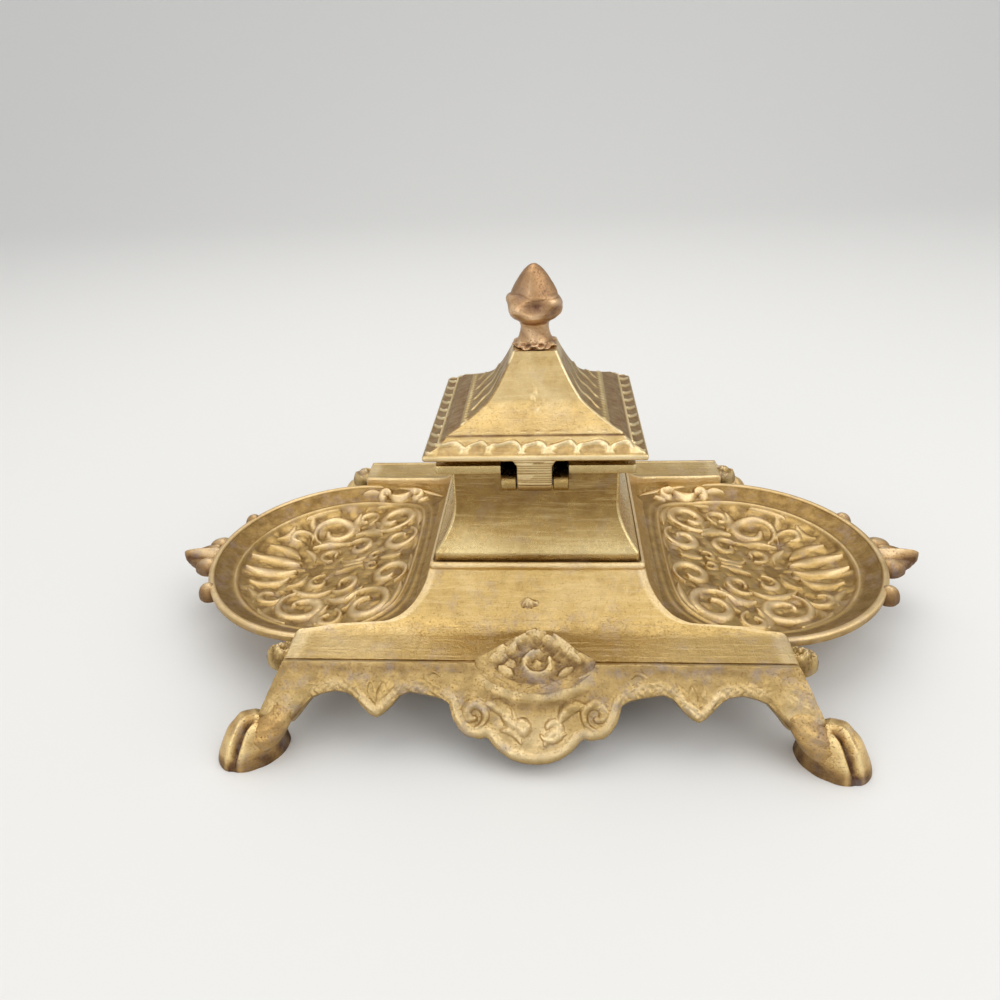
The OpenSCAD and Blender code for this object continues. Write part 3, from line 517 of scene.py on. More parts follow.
def petal(length, width, count=72):
    """Radius by angle of a pointed leaf lying along +X: an ellipse drawn out to a tip where the cosine nears 1."""
    angle = np.linspace(0, 2 * np.pi, count, endpoint=False)
    body = 1 / np.sqrt((np.cos(angle) / (length * 0.5)) ** 2 + (np.sin(angle) / (width * 0.5)) ** 2)
    return body * (1 + 0.24 * np.clip(np.cos(angle), 0, 1) ** 8)


leaf_bits = []
around = np.linspace(0, 360, 96, endpoint=False)
middle_leaf = np.interp(np.where(around > 180, 360 - around, around), [0, 8, 22, 45, 80, 110, 140, 180],
                        [11.2, 10.0, 8.6, 7.7, 7.6, 8.6, 7.6, 6.0])
side_lobe, small_ball, end_knob = petal(9.6, 8.4), petal(7.0, 6.8, 40), petal(9.6, 9.0, 72)
for sign in (1, -1):
    grid, mark = blob(middle_leaf, (130.3, 0.0), 22.8, 18.8, 0.22)
    over = np.clip((grid[..., 2] - 19.4) / 1.5, 0, 1)
    crest = 1.5 * np.exp(-(grid[..., 1] / 1.1) ** 2) * over
    trench = 1.3 * np.exp(-((np.abs(grid[..., 1]) - 2.3 - 0.10 * (141 - grid[..., 0])) / 0.9) ** 2) * over * (grid[..., 0] > 126)
    boss = 1.5 * np.exp(-((grid[..., 0] - 129.6) / 2.2) ** 2 - ((grid[..., 1] - 3.4) / 1.5) ** 2) * over
    grid[..., 2] += boss + crest - trench
    leaf_bits.append((grid * np.array([sign, 1, 1]), mark - 0.7 * trench + 0.8 * boss + 0.5 * crest, False, True))
    for way in (1, -1):
        grid, mark = blob(side_lobe, (128.2, 7.2 * way), 24.0, 18.8, 0.45)
        leaf_bits.append((grid * np.array([sign, 1, 1]), mark, False, True))
        turn = np.radians(27.5) * way
        spot = (tray_x + 53.4 * np.cos(turn), 53.4 * np.sin(turn))
        grid, mark = blob(small_ball, spot, 25.0, 18.8, 0.5)
        leaf_bits.append((grid * np.array([sign, 1, 1]), mark, False, True))
knob_bits = []
for sign in (1, -1):
    for way in (1, -1):
        grid, mark = blob(end_knob, (80.8, 61.2 * way), 27.6, 20.6, 0.3, 40)
        bearing = np.arctan2(grid[..., 1] - 61.2 * way, grid[..., 0] - 80.8)
        away = np.hypot(grid[..., 0] - 80.8, grid[..., 1] - 61.2 * way)
        coil = 0.5 + 0.5 * np.cos(2 * np.pi * away / 3.1 - bearing * way)
        pit = 0.35 * np.sin(grid[..., 0] * 3.1) * np.sin(grid[..., 1] * 3.7 + 1)
        grid[..., 2] -= (0.8 * coil * (away > 0.9) + pit) * (grid[..., 2] > 23.5)
        knob_bits.append((grid * np.array([sign, 1, 1]), mark * 0.3 + 0.3 - 0.9 * coil, False, True))
knobs = casting("strip_end_scrolls", knob_bits, 60)
knob_brass = brass("knob_brass", (0.17, 0.10, 0.04), (0.47, 0.33, 0.13), (0.76, 0.60, 0.36),
                   residue_amount=0.5, pitting=1.0, scratches=0.2, dullness=0.42, residue=(0.36, 0.31, 0.32), depth=0.0003)
dress(knobs, knob_brass, "stand", "plate_brass")
leaf_brass = brass("leaf_brass", (0.13, 0.065, 0.03), (0.40, 0.25, 0.11), (0.68, 0.50, 0.29),
                   residue_amount=0.4, pitting=0.8, scratches=0.2, dullness=0.42)
leaves = casting("rim_leaves_and_knobs", leaf_bits, 60)
dress(leaves, leaf_brass, "stand", "plate_brass")


# ---- The two leg rails: apron, cartouche, legs and hooves ----
# Each is a casting of its own, screwed up under a strip: a sloping scalloped apron with a
# shell in the middle, a raised cartouche over it, and two legs that end in cloven hooves.

apron_y, apron_z, apron_t = 68.6, 27.0, 2.8
lean = np.radians(39.7)
leg_x = 84.8


def apron_low(x):
    """How far the apron reaches down its slope at |x|: shell, step, side lobes, arches, pointed drop and leg."""
    at = [0, 4, 7.5, 10.5, 12.6, 13.8, 14.8, 16.4, 20.6, 22.8, 24.6, 25.5, 26, 28.4, 32.5, 38.4, 41.2, 43.9, 46.4, 48.5,
          50.6, 53, 55, 57.8, 61.6, 66, 68.8, 70.6, 72.3, 73.6, 74.8, 77.5, 81.5, 84.8]
    low = [28.8, 28.5, 27.3, 25.4, 23.4, 21.9, 21.3, 21.7, 21.1, 19.3, 16.6, 13.8, 11.6, 10.2, 9.2, 8.3, 9.4, 12.6,
           14.9, 16.0, 15.0, 12.8, 10.6, 8.8, 8.2, 9.2, 10.4, 12.6, 14.6, 16.4, 17.6, 18.2, 17.8, 16.6]
    return np.interp(np.abs(x), at, low)


def apron_top(x):
    """Where the apron starts down its slope: under the strip, and past its end the leg's slanting outer edge."""
    return np.interp(np.abs(x), [0, 78.6, 84.8], [0, 0, 15.6])


def on_slope(x, v, proud, way):
    """A point v down the slope and proud of it: the slope leans out by 39.7 degrees from upright."""
    return np.stack([x, way * (-apron_y - v * np.sin(lean) - proud * np.cos(lean)) * 1.0,
                     apron_z - v * np.cos(lean) + proud * np.sin(lean)], -1)


shell_curls = [
    curl(18.4, 14.4, 4.4, 1.4, 100, 360, 1.5, 1.1), curl(-18.4, 14.6, 4.2, 1.4, 80, -360, 1.6, 1.1),
    frond(15.0, 11.8, 7.6, 16.6, 1.8, 1.8, 1.2), frond(-15.2, 11.6, -7.0, 17.0, -1.8, 1.9, 1.2),
    curl(5.0, 18.8, 3.6, 1.4, 150, -300, 1.4, 1.2), frond(-4.4, 20.4, -9.6, 15.6, 0.6, 1.5, 1.1),
    frond(-3.9, 17.2, -3.3, 19.4, 0.1, 2.4, 1.7), frond(3.0, 23.4, 9.0, 20.0, -1.4, 1.5, 0.9),
    frond(-4.0, 23.0, -10.2, 19.4, 1.6, 1.1, 0.8), frond(46.6, 6.0, 48.4, 12.4, 0.4, 1.2, 0.7),
    frond(-46.6, 6.0, -48.4, 12.4, -0.4, 1.2, 0.7), frond(50.4, 6.0, 48.8, 11.6, -0.4, 1.0, 0.6),
    frond(-50.4, 6.0, -48.8, 11.6, 0.4, 1.0, 0.6), curl(31.5, 4.6, 2.6, 0.9, 200, 300, 0.8, 0.5),
    curl(-31.5, 4.6, 2.6, 0.9, 340, -300, 0.8, 0.5), frond(28.0, 8.0, 38.0, 5.6, -0.8, 0.9, 0.5),
    frond(-28.0, 8.0, -38.0, 5.6, 0.8, 0.9, 0.5), frond(57.0, 6.0, 70.0, 6.4, 0.6, 0.9, 0.5),
    frond(-57.0, 6.0, -70.0, 6.4, -0.6, 0.9, 0.5),
]


def apron(way, columns=680, rows=84):
    """Columns across, rows down the slope. The face carries a thick rounded rim along the scalloped edge,
    small curls, the cartouche's lower lip, and the legs' rounding; the edge turns over to a plain back."""
    x = np.linspace(-leg_x, leg_x, columns)[None, :]
    top, low = apron_top(x), apron_low(x)
    q = np.linspace(0, 1, rows)[:, None]
    v = top + (low - top) * q
    xs = x + 0 * v
    fine = np.linspace(-leg_x, leg_x, 900)
    edge = np.stack([fine, apron_low(fine)], -1)
    gap = np.full(v.shape, 9.0)
    for part in np.array_split(edge, 30):
        gap = np.minimum(gap, np.hypot(xs[..., None] - part[:, 0], v[..., None] - part[:, 1]).min(-1))
    shell = np.clip((27.5 - np.abs(xs)) / 3, 0, 1)
    drop = np.clip((7.5 - np.abs(np.abs(xs) - 48.5)) / 3, 0, 1)
    rim = np.sqrt(np.clip(1 - ((gap - 1.5) / 1.6) ** 2, 0, 1))
    soft = np.clip(1 - ((gap - 1.9) / 2.2) ** 2, 0, 1)
    lift = rim * (0.45 * shell + 0.5 * drop) + 0.35 * soft
    curls = stroke_height(xs, v, shell_curls) * np.clip((gap - 2.2) / 1.5, 0, 1)
    lift = lift + curls * (1 + 0.2 * np.sin(xs * 1.3) * np.sin(v * 1.7))
    lift += 0.7 * shell * np.clip(1 - ((v - 19) / 9) ** 2, 0, 1) * np.clip(1 - (xs / 13) ** 2, 0, 1)
    lip_v = 9.2 - 5.8 * (xs / 17.5) ** 2
    lip = np.clip(1 - ((v - lip_v) / 3.4) ** 2, 0, 1) * np.clip(1 - (xs / 18.5) ** 2, 0, 1) ** 0.5
    # a shallow groove under the cartouche's lower lip; the apron's tone below paints it darker as the lip's shadow
    # (painted shadow)
    hollow = np.exp(-((v - lip_v - 3.6) / 1.6) ** 2) * np.clip(1 - (xs / 17) ** 2, 0, 1)
    lift = np.maximum(lift, 0.7 * lip) - 0.35 * hollow
    lean_line = np.interp(v, [0, 21], [73.5, 80.2])
    leg = np.clip(1 - ((np.abs(xs) - lean_line) / 7.5) ** 2, 0, 1) * np.clip(v / 9, 0, 1) ** 0.7
    limb = np.clip((np.abs(xs) - 68) / 3, 0, 1)
    lift = lift * (1 - limb * 0.8) + 2.0 * leg - 3.4 * limb * np.clip((v - 14.5) / 6, 0, 1) ** 2
    covered = (np.abs(xs) < 18) & (v < lip_v - 2.4)
    lift = np.where(covered, -1.6, lift)
    lift *= np.clip(gap / 1.2, 0, 1) ** 0.5
    rough = np.clip(1 - shell, 0, 1) * np.clip(1 - gap / 5, 0, 1) * (1 - limb) + 0.22 * leg
    wobble = 0.15 * np.sin(xs * 0.9 + v * 0.5) + 0.10 * np.sin(xs * 0.37 - v * 1.3)
    wobble = wobble + 0.16 * rough * (np.sin(xs * 2.9 + 2 * np.sin(v * 1.7)) + np.sin(xs * 1.9 - v * 2.6))
    wobble = wobble * np.clip(v / 2, 0, 1)
    face = on_slope(xs, v, lift + wobble, way)
    shoulder = face[:1].repeat(4, 0)
    shoulder[:, :, 1] = -way * np.array([66.95, 66.95, 67.3, 68.2])[:, None]
    shoulder[:, :, 2] += np.array([-2.6, -0.5, -0.08, 0.0])[:, None]
    shoulder[:, :, 2] -= 3.5 * (np.abs(x) < 18.2)
    outside = np.abs(x[0]) > 78.4
    shoulder[:, outside] = face[:1, outside]
    b = np.linspace(0, 1, 6)[1:, None]
    thick = apron_t + 2.2 * np.clip((np.abs(x) - 66) / 8, 0, 1)
    turn = on_slope(x + 0 * b, low + 0.5 * np.sin(b * np.pi), wobble[-1:] - thick * b, way)
    up = np.linspace(1, 0, 12)[:, None]
    back = on_slope(x + 0 * up, top + (low - top) * up, -thick + 0 * up, way)
    grid = np.concatenate([shoulder, face, turn, back], 0)
    # painted shade: the 0.35 * exp term near v = 1.5 darkens a band along the top of the apron, just under the strip's
    # edge
    tone = np.clip((lift - 0.75 * curls) * 0.9 - 0.1 - 0.35 * np.exp(-((v - 1.5) / 1.5) ** 2) - 0.5 * hollow - 1.6 * leg - 0.1 * limb, -0.9, 1)
    mark = np.concatenate([np.full(shoulder.shape[:2], 0.3), tone, 0.2 - 0.9 * b + np.zeros(turn.shape[:2]),
                           np.full(back.shape[:2], -0.6)], 0)
    closed_left, closed_right = grid[:, :1].copy(), grid[:, -1:].copy()
    for end in (closed_left, closed_right):
        end[:] = end.mean(0, keepdims=True)
    return (np.concatenate([closed_left, grid, closed_right], 1), np.pad(mark, ((0, 0), (1, 1)), mode="edge"))


def cartouche(way, rings=70, spokes=300):
    """A tilted shield set in the strip's notch: kite above, half ellipse below. A thick worn border, sunk ground,
    a ring rosette open at the upper right, a straight bar on the right and lumps on the left; sides drop into the
    casting.
    Its tone darkens the sunk ground as patina and painted shade, and the right side as painted shade."""
    angle = np.linspace(0, 2 * np.pi, spokes, endpoint=False)[None, :]
    across, deep = np.cos(angle), np.sin(angle)
    kite = 1 / (np.abs(across) / 18.4 + np.abs(deep) / 10.8)
    bowl = 1 / np.sqrt((across / 18.4) ** 2 + (deep / 10.4) ** 2)
    outline = np.where(deep > 0, kite * (1 - 0.07 * np.abs(deep) ** 14), bowl)
    q = np.linspace(0, 1, rings)[:, None]
    x, d = q * outline * across, q * outline * deep
    lumpy = 1 + 0.25 * np.sin(angle * 9 + 0.7) * (across < 0.2) + 0.12 * np.sin(angle * 14)
    crown = np.clip(deep * 4 + 0.8, 0, 1)
    lift = 1.3 * lumpy * np.exp(-((q - 0.86) / 0.13) ** 2) * crown
    lift = np.maximum(lift, (0.2 * np.clip((q - 0.6) / 0.3, 0, 1) - 0.6 * np.clip((q - 0.86) / 0.14, 0, 1)) * (1 - crown))
    bearing = np.degrees(np.arctan2(d + 0.6, x - 0.8)) % 360
    away = np.hypot(x - 0.8, (d + 0.6) * 1.1)
    open_ring = np.clip(np.abs(((bearing - 50 + 180) % 360) - 180) / 18 - 0.6, 0.15, 1)
    lift = np.maximum(lift, 1.5 * np.exp(-((away - 3.9) / 1.15) ** 2) * open_ring)
    lift = np.maximum(lift, 1.1 * np.exp(-(away / 1.3) ** 2))
    lift = np.maximum(lift, stroke_height(x, d, [
        frond(5.8, 7.2, 13.8, -0.6, 0.2, 1.5, 2.0), frond(-9.4, 3.4, -13.6, 0.2, 0.6, 1.9, 1.7),
        frond(-10.8, -2.4, -7.0, -4.6, 0.4, 1.7, 1.5), frond(7.4, -4.8, 11.4, -2.4, 0.4, 1.3, 1.2),
        frond(-6.0, 5.0, -8.2, 2.6, 0.1, 1.4, 1.4), frond(-2.6, 8.4, 3.0, 8.4, 0.1, 1.5, 1.2),
        frond(-6.4, -0.4, -8.8, -1.4, 0.1, 1.4, 1.2)]))
    lift = lift + (0.3 * np.sin(x * 1.5 + 1.4 * np.sin(d * 1.1)) * np.sin(d * 1.7 + 0.5)
                   + 0.16 * np.sin(x * 3.1 + np.sin(d * 2)) * np.sin(d * 3.3)) * (q < 0.93) * (0.35 + 0.65 * crown)
    tilt = np.radians(28)
    y = -66.6 + d * np.cos(tilt)
    z = 26.9 + d * np.sin(tilt) + lift * 0.9 - 1.3 * np.clip(1 - q ** 2, 0, 1) + 0.3
    face = np.stack([x, y, z], -1)
    skirt = face[-1:].copy()
    skirt[..., 2] = np.minimum(skirt[..., 2] - 1.0, 23.0)
    skirt[..., 1] = np.maximum(skirt[..., 1], -69.5)
    low = np.stack([0 * skirt[..., 0], 0 * skirt[..., 0] - 66.8, 0 * skirt[..., 0] + 21.8], -1)
    grid = np.concatenate([face, skirt, low], 0) * np.array([1, way, 1])
    # painted shade: the shield's right side, past x = 9, is darkened where it stands low
    shade = 0.5 * np.clip((x - 9) / 5, 0, 1) * np.clip(1.4 - lift, 0, 1)
    mark = np.concatenate([np.clip(lift * 0.85 - 0.78 - shade + 0.5 * (1 - crown) * (q > 0.7), -0.95, 0.6), np.zeros((2, spokes))], 0)
    return grid, mark


def hoof(side, way, rings=60, spokes=180):
    """A cloven hoof seen in plan as a radius by bearing, longest outwards and forwards. Height 14 at the pastern,
    falling to the toes as (1 - q^p)^0.5; a deep groove parts two toes, with raised edges and a faceted shoulder."""
    bearing = np.array([-180, -151, -114, -76, -53, -26, 10, 50, 90, 120, 150, 180.0])
    reach = np.array([9.9, 8.7, 8.3, 9.7, 11.0, 11.4, 10.4, 9.2, 9.0, 10.0, 11.2, 9.9])
    angle = np.linspace(-180, 180, spokes, endpoint=False)
    outline = np.interp(angle, bearing, reach)
    for _ in range(8):
        outline = 0.25 * np.roll(outline, 1) + 0.5 * outline + 0.25 * np.roll(outline, -1)
    angle, outline = np.radians(angle)[None, :], outline[None, :]
    q = np.sin(np.linspace(0, 1, rings) * np.pi / 2)[:, None]
    px, py = q * outline * np.cos(angle), q * outline * np.sin(angle)
    fore = np.radians(-58)
    g = px * np.cos(fore) + py * np.sin(fore)
    c = -px * np.sin(fore) + py * np.cos(fore) + 1.5
    crown = 13.9 - 0.048 * np.clip(g + 2.0, 0, None) ** 2 - 0.06 * np.clip(-g - 3.0, 0, None) ** 2
    crown = crown - 0.5 * np.clip(np.abs(c - 1.2) - 4.4, 0, None)
    z = crown * np.clip(1 - q ** 2.9, 0, 1) ** 0.55
    ahead = np.clip((g + 1.5) / 3.5, 0, 1)
    groove = np.exp(-(c / 1.0) ** 2) * ahead
    ledges = np.exp(-((np.abs(c) - 2.2) / 0.8) ** 2) * ahead
    facet = 0.9 * np.abs(((g * 0.17 + np.abs(c) * 0.13 + 0.35) % 1) - 0.5) - 0.2
    body = np.clip(z / 6.0, 0, 1)
    z = z + (0.6 * ledges - 2.6 * groove + facet) * body
    px, py = px * (1 - 0.03 * groove), py * (1 - 0.03 * groove)
    dome = np.stack([88.7 + px, -79.2 + py, np.clip(z, 0, None)], -1)
    base = np.stack([px[:1] * 0 + 88.7, py[:1] * 0 - 79.2, px[:1] * 0], -1)
    grid = np.concatenate([dome, base], 0) * np.array([side, way, 1])
    tone = np.clip(0.4 + 0.6 * ledges - 1.5 * groove + 1.0 * facet - 1.1 * np.clip((q - 0.86) / 0.1, 0, 1), -1, 1)
    return grid, np.concatenate([tone, np.zeros((1, spokes))], 0)


def pastern(side, way, steps=26, spokes=48):
    """The joint between leg and hoof: circles carried along a bowed line, swelling towards the hoof."""
    t = np.linspace(0, 1, steps)[:, None]
    line = ((1 - t) ** 2 * np.array([[77.4, -75.4, 17.2]]) + 2 * t * (1 - t) * np.array([[79.8, -80.6, 9.8]])
            + t ** 2 * np.array([[87.4, -79.8, 5.6]]))
    along = np.gradient(line, axis=0)
    along /= np.linalg.norm(along, axis=1)[:, None]
    beside = np.cross(along, [0, 0, 1.0])
    beside /= np.linalg.norm(beside, axis=1)[:, None]
    above = np.cross(beside, along)
    size = (3.7 + 1.3 * t) * np.clip(np.sin(np.pi * np.clip(t * 0.94 + 0.03, 0, 1)) * 3, 0, 1) ** 0.5
    size[0] = size[-1] = 0
    angle = np.linspace(0, 2 * np.pi, spokes, endpoint=False)[None, :, None]
    knobs = 1 + 0.07 * np.sin(3 * angle + 5 * t[:, None]) + 0.03 * np.sin(7 * angle - 9 * t[:, None])
    grid = line[:, None] + (size[:, None] * knobs) * (beside[:, None] * np.cos(angle) * 1.15 + above[:, None] * np.sin(angle))
    return grid * np.array([side, way, 1]), np.full(grid.shape[:2], -0.1)


def rounded_bar(x0, x1, half_deep, half_high, centre_y, centre_z, count=26, power=5.0):
    """A bar along X: its section is |y / a|^p + |z / b|^p = 1, closed at both ends by shrinking it to a point."""
    angle = np.linspace(0, 2 * np.pi, count, endpoint=False)[None, :]
    size = (np.abs(np.cos(angle)) ** power + np.abs(np.sin(angle)) ** power) ** (-1 / power)
    x = np.concatenate([[x0], np.linspace(x0, x1, 20), [x1]])[:, None]
    grow = np.concatenate([[0], [0.9], np.ones(18), [0.9], [0]])[:, None]
    return np.stack([x + 0 * angle, centre_y + grow * half_deep * size * np.cos(angle),
                     centre_z + grow * half_high * size * np.sin(angle)], -1)


rail_brass = brass("rail_brass", (0.20, 0.12, 0.05), (0.45, 0.31, 0.125), (0.74, 0.58, 0.33),
                   residue_amount=0.42, pitting=0.6, scratches=0.25, dullness=0.4, depth=0.00025)
hoof_brass = brass("hoof_brass", (0.11, 0.055, 0.03), (0.46, 0.29, 0.11), (0.82, 0.62, 0.30),
                   residue_amount=0.4, pitting=0.7, scratches=0.2, dullness=0.42, residue=(0.30, 0.27, 0.27),
                   depth=0.0003)
for side, way in (("front", 1), ("rear", -1)):
    grid, mark = apron(way)
    skirt = casting(side + "_apron", [(grid, mark, True, False)], 55)
    dress(skirt, rail_brass, "stand", "rail_brass", side + "_leg_rail")
    grid, mark = cartouche(way)
    lump, lump_mark = blob(petal(6.6, 3.6, 60) * (1 + 0.1 * np.sin(np.arange(60) * 0.9)), (-2.6, -44.3), 33.6, 29.4, 0.45)
    lump[..., 2] += 0.35 * np.sin(lump[..., 0] * 1.7) * np.sin(lump[..., 1] * 2.1) * (lump[..., 2] > 31)
    kite = casting(side + "_cartouche", [(grid, mark, False, True),
                                         (lump * np.array([1, way, 1]), 0 * lump_mark + 0.5, False, True)], 60)
    dress(kite, rail_brass, "stand", "rail_brass")
    feet = []
    for hand in (1, -1):
        grid, mark = hoof(hand, way)
        feet.append((grid, mark, False, True))
        grid, mark = pastern(hand, way)
        feet.append((grid, mark, False, True))
    hooves = casting(side + "_hooves", feet, 70)
    dress(hooves, hoof_brass, "stand", "rail_brass")
    bar = rounded_bar(-78, 78, 6.6, 1.5, -61.4 * way, 20.0)
    flange = casting(side + "_rail_flange", [(bar, np.full(bar.shape[:2], -0.4), False, True)])
    dress(flange, rail_brass, "stand", "rail_brass")


# ---- The square well box ----
# A separate casting bolted to the saddle: foot band, hollow flare, straight neck and a
# flange with an inner lip. The front of flange and lip is cut away for the lid's hinge.

notch_half, notch_floor = 10.8, 66.8
flare_z = np.linspace(45.0, 60.8, 18)
box_profile = ([(0, 41.0), (33.2, 41.0), (33.7, 41.3), (34.0, 41.8), (34.0, 43.9), (33.95, 44.3), (33.85, 44.6), (33.7, 44.8)]
               + [(27.3 + 6.3 * (1 - (z - 45.0) / 15.8) ** 2.1, z) for z in flare_z]
               + [(27.3, z) for z in (62, 64, 66, 66.8, 68, 70, 72)]
               + [(27.5, 72.4), (28.2, 72.7), (31.2, 72.9), (31.7, 73.1), (31.8, 73.5), (31.8, 75.5), (31.6, 75.9), (31.1, 76.0),
                  (28.9, 76.0), (28.6, 76.2), (28.5, 76.5), (28.5, 78.2), (28.3, 78.55), (27.9, 78.7), (25.6, 78.7),
                  (25.2, 78.55), (25.1, 78.2), (25.1, 66.8), (25.1, 56), (25.1, 46.4), (24.5, 45.6), (12, 45.6), (0, 45.6)])


def well_box():
    """The profile carried round a rounded square. Side slots put two columns at each end of the hinge notch;
    between them on the front every point above 66.8 is brought down to it, and the flange is brought in."""
    fine = np.linspace(0.4, 1, 16)
    slots = np.concatenate([-fine[::-1], [-0.4], np.linspace(-0.36, 0.36, 13), [0.4], fine])
    grid = stacked(box_profile, 1.1, slots, 5)
    half = np.array(box_profile)[:, 0][:, None]
    flat = np.maximum(half - 1.1, half * 0.1)
    centre = np.minimum(notch_half, flat * 0.42)
    along = np.where(np.abs(slots) <= 0.4, slots / 0.4 * centre,
                     np.sign(slots) * (centre + (np.abs(slots) - 0.4) / 0.6 * (flat - centre)))
    per_side = len(slots) + 5
    for k, (axis, way) in enumerate(((1, 1), (0, -1), (1, -1), (0, 1))):
        grid[:, k * per_side:k * per_side + len(slots), axis] = along * way
    cut = np.zeros(grid.shape[1], bool)
    first = 3 * per_side + 16
    cut[first:first + 15] = True
    over = (grid[..., 2] > notch_floor) & cut[None, :]
    grid[..., 1] = np.where(over, np.clip(grid[..., 1], -27.3, -25.1), grid[..., 1])
    grid[..., 2] = np.where(over, notch_floor, grid[..., 2])
    mark = np.zeros(grid.shape[:2])
    level = grid[..., 2] + 0 * mark
    mark = np.interp(level, [41, 41.6, 42.2, 44.6, 48, 54, 60, 70, 72.4, 72.6, 73.2, 75.8, 76.1],
                     [-1, -0.2, 0.6, 0.75, 0.35, -0.1, -0.35, -0.45, -0.6, 0.1, 0.45, 0.7, 0.2])
    corner = (np.arange(grid.shape[1]) % per_side) >= len(slots)
    mark = np.where(corner[None, :] & (half > 26), 0.9, mark)
    mark[48:] = -0.4
    return grid, mark


grid, mark = well_box()
lugs = []
for hand in (1, -1):
    bar = rounded_bar(hand * 5.75, hand * 10.7, 4.4, 2.7, -30.1, 70.2, 40, 2.6)
    lugs.append((bar, np.full(bar.shape[:2], 0.1), False, True))
box = casting("well_box_cast", [(grid, mark, False, True)] + lugs)
box_brass = brass("box_brass", (0.17, 0.09, 0.025), (0.353, 0.231, 0.0798), (0.655, 0.512, 0.252),
                  residue_amount=0.12, pitting=0.35, scratches=1.0, dullness=0.27)
dress(box, box_brass, "stand", "box_brass", "well_box")


# ---- The hinged lid ----
# Cast in one: a flat edge, a sloping border of lobes in front and slanting gadroons at the
# sides, a steep pagoda roof hollow inside, and a tongue that curls round the hinge pin.

roof_top, roof_foot = 105.0, 84.4
roof_s = np.linspace(1, 0, 46)
roof_curve = [(7.2 + 20.4 * s, roof_foot + 0.6 + (roof_top - roof_foot - 0.6) * (1 - s) ** 2.35
               + 1.3 * np.sin(np.pi * min(1.63 * (1 - s), 1.0))) for s in roof_s]
border_curve = [(34.3 - 5.9 * t, 80.9 + 3.3 * t - 0.5 * np.sin(np.pi * t)) for t in np.linspace(0, 1, 24)]
inner_curve = [(max(w - 1.8, 0), z - 1.6) for w, z in roof_curve[::-3]]
lid_profile = ([(0, 102.6)] + inner_curve[1:] + [(26.5, 83.2), (26.5, 79.0), (34.4, 79.0), (34.8, 79.1), (35.0, 79.5),
               (35.0, 80.3), (34.8, 80.7)] + border_curve + [(28.1, 84.5), (27.9, 84.6), (27.7, 84.6)] + roof_curve
               + [(6.9, 105.0), (0, 105.0)])


def lid_relief(x, y, row_w, row_z, side):
    """Lift over the plain lid. Border, t from the edge to the roof: front and back hold seven sunk lobes with
    arched bright rims, the sides slanting ridges. Roof: beads and stems at the sides, a worn flower in front."""
    along = np.where((side == 1) | (side == 3), x, y)
    t = np.clip((34.3 - row_w) / 5.9, 0, 1)
    border = (row_w < 34.4) & (row_w > 28.2) & (row_z < 84.6)
    place = (along + 31.5 + 0.9 * np.sin(along * 0.43 + 1)) / 9.0
    local = (place - np.floor(place) - 0.5) * 9.0
    top_line = 0.70 + 0.06 * np.sin(along * 0.7)
    oval = ((np.abs(local) / 3.7) ** 2.8 + (np.abs(t - 0.30) / (top_line - 0.30)) ** 2.8) ** (1 / 2.8)
    lobes = 0.5 * np.clip((1.35 - oval) / 0.3, 0, 1) * np.clip(t * 6, 0, 1) - 0.85 * np.clip((1.02 - oval) / 0.4, 0, 1)
    lobes = np.maximum(lobes, 0.85 * np.exp(-((oval - 1.08) / 0.2) ** 2) * np.clip((t - 0.18) * 4, 0, 1))
    lobes = lobes * np.clip((31.0 - np.abs(along)) / 1.5, 0, 1) + 0.5 * np.clip((np.abs(along) - 29.8) / 2.5, 0, 1) * np.clip((0.8 - t) / 0.3, 0, 1)
    slant = along / 7.0 + 0.8 * t + 0.25 * np.sin(np.pi * t)
    ridges = (0.95 * np.exp(-((slant - np.floor(slant) - 0.5) / 0.16) ** 2) - 0.2) * np.clip((0.66 - t) / 0.06, 0, 1)
    rail = 0.6 * np.exp(-((t - 0.70) / 0.05) ** 2)
    lift = np.where((side == 1) | (side == 3), lobes, np.maximum(ridges, rail)) * border
    lift *= np.clip(t / 0.08, 0, 1)
    roof = (row_z > 84.55) & (row_z < 104.8) & (row_w < 27.8)
    flank = roof & ((side == 0) | (side == 2))
    bead = 0.45 * np.exp(-((row_w - 22.6) / 0.8) ** 2) * (0.55 + 0.45 * np.cos(2 * np.pi * along / 2.3))
    stems = 0.45 * np.exp(-(((along / 9.5 + (row_w - 12) / 9.5 + 0.1 * np.sin(row_w)) % 1 - 0.5) / 0.09) ** 2)
    stems = stems * np.clip((row_w - 10.5) / 2, 0, 1) * np.clip((21.6 - row_w) / 1.0, 0, 1)
    lift = np.where(flank, np.maximum(bead, stems), lift)
    front = roof & (side == 3)
    turn = np.arctan2(row_z - 91.6, along - 0.4)
    away = np.hypot(row_z - 91.6, along - 0.4)
    worn = np.sin(along * 1.9 + 1.2 * np.sin(row_z * 1.3)) * np.sin(row_z * 1.7 + np.sin(along)) + 0.5 * np.cos(2 * turn + away)
    flower = 0.3 * worn * np.exp(-(away / 3.4) ** 4)
    dashes = 0.3 * np.exp(-((row_w - 26.9) / 0.4) ** 2) * np.clip(np.sin(along * 0.9 + 2 * np.sin(along * 0.31)), 0, 1)
    return np.where(front, np.maximum(flower, dashes), lift)


def raised(grid, lift, outward):
    """Moves each point along its grid normal, the cross product of the steps along both parameters."""
    du = np.gradient(grid, axis=0)
    dv = np.roll(grid, -1, 1) - np.roll(grid, 1, 1)
    normal = np.cross(dv, du) * outward
    size = np.linalg.norm(normal, axis=-1, keepdims=True)
    return grid + np.where(size > 1e-9, normal / np.maximum(size, 1e-9), 0) * lift[..., None]


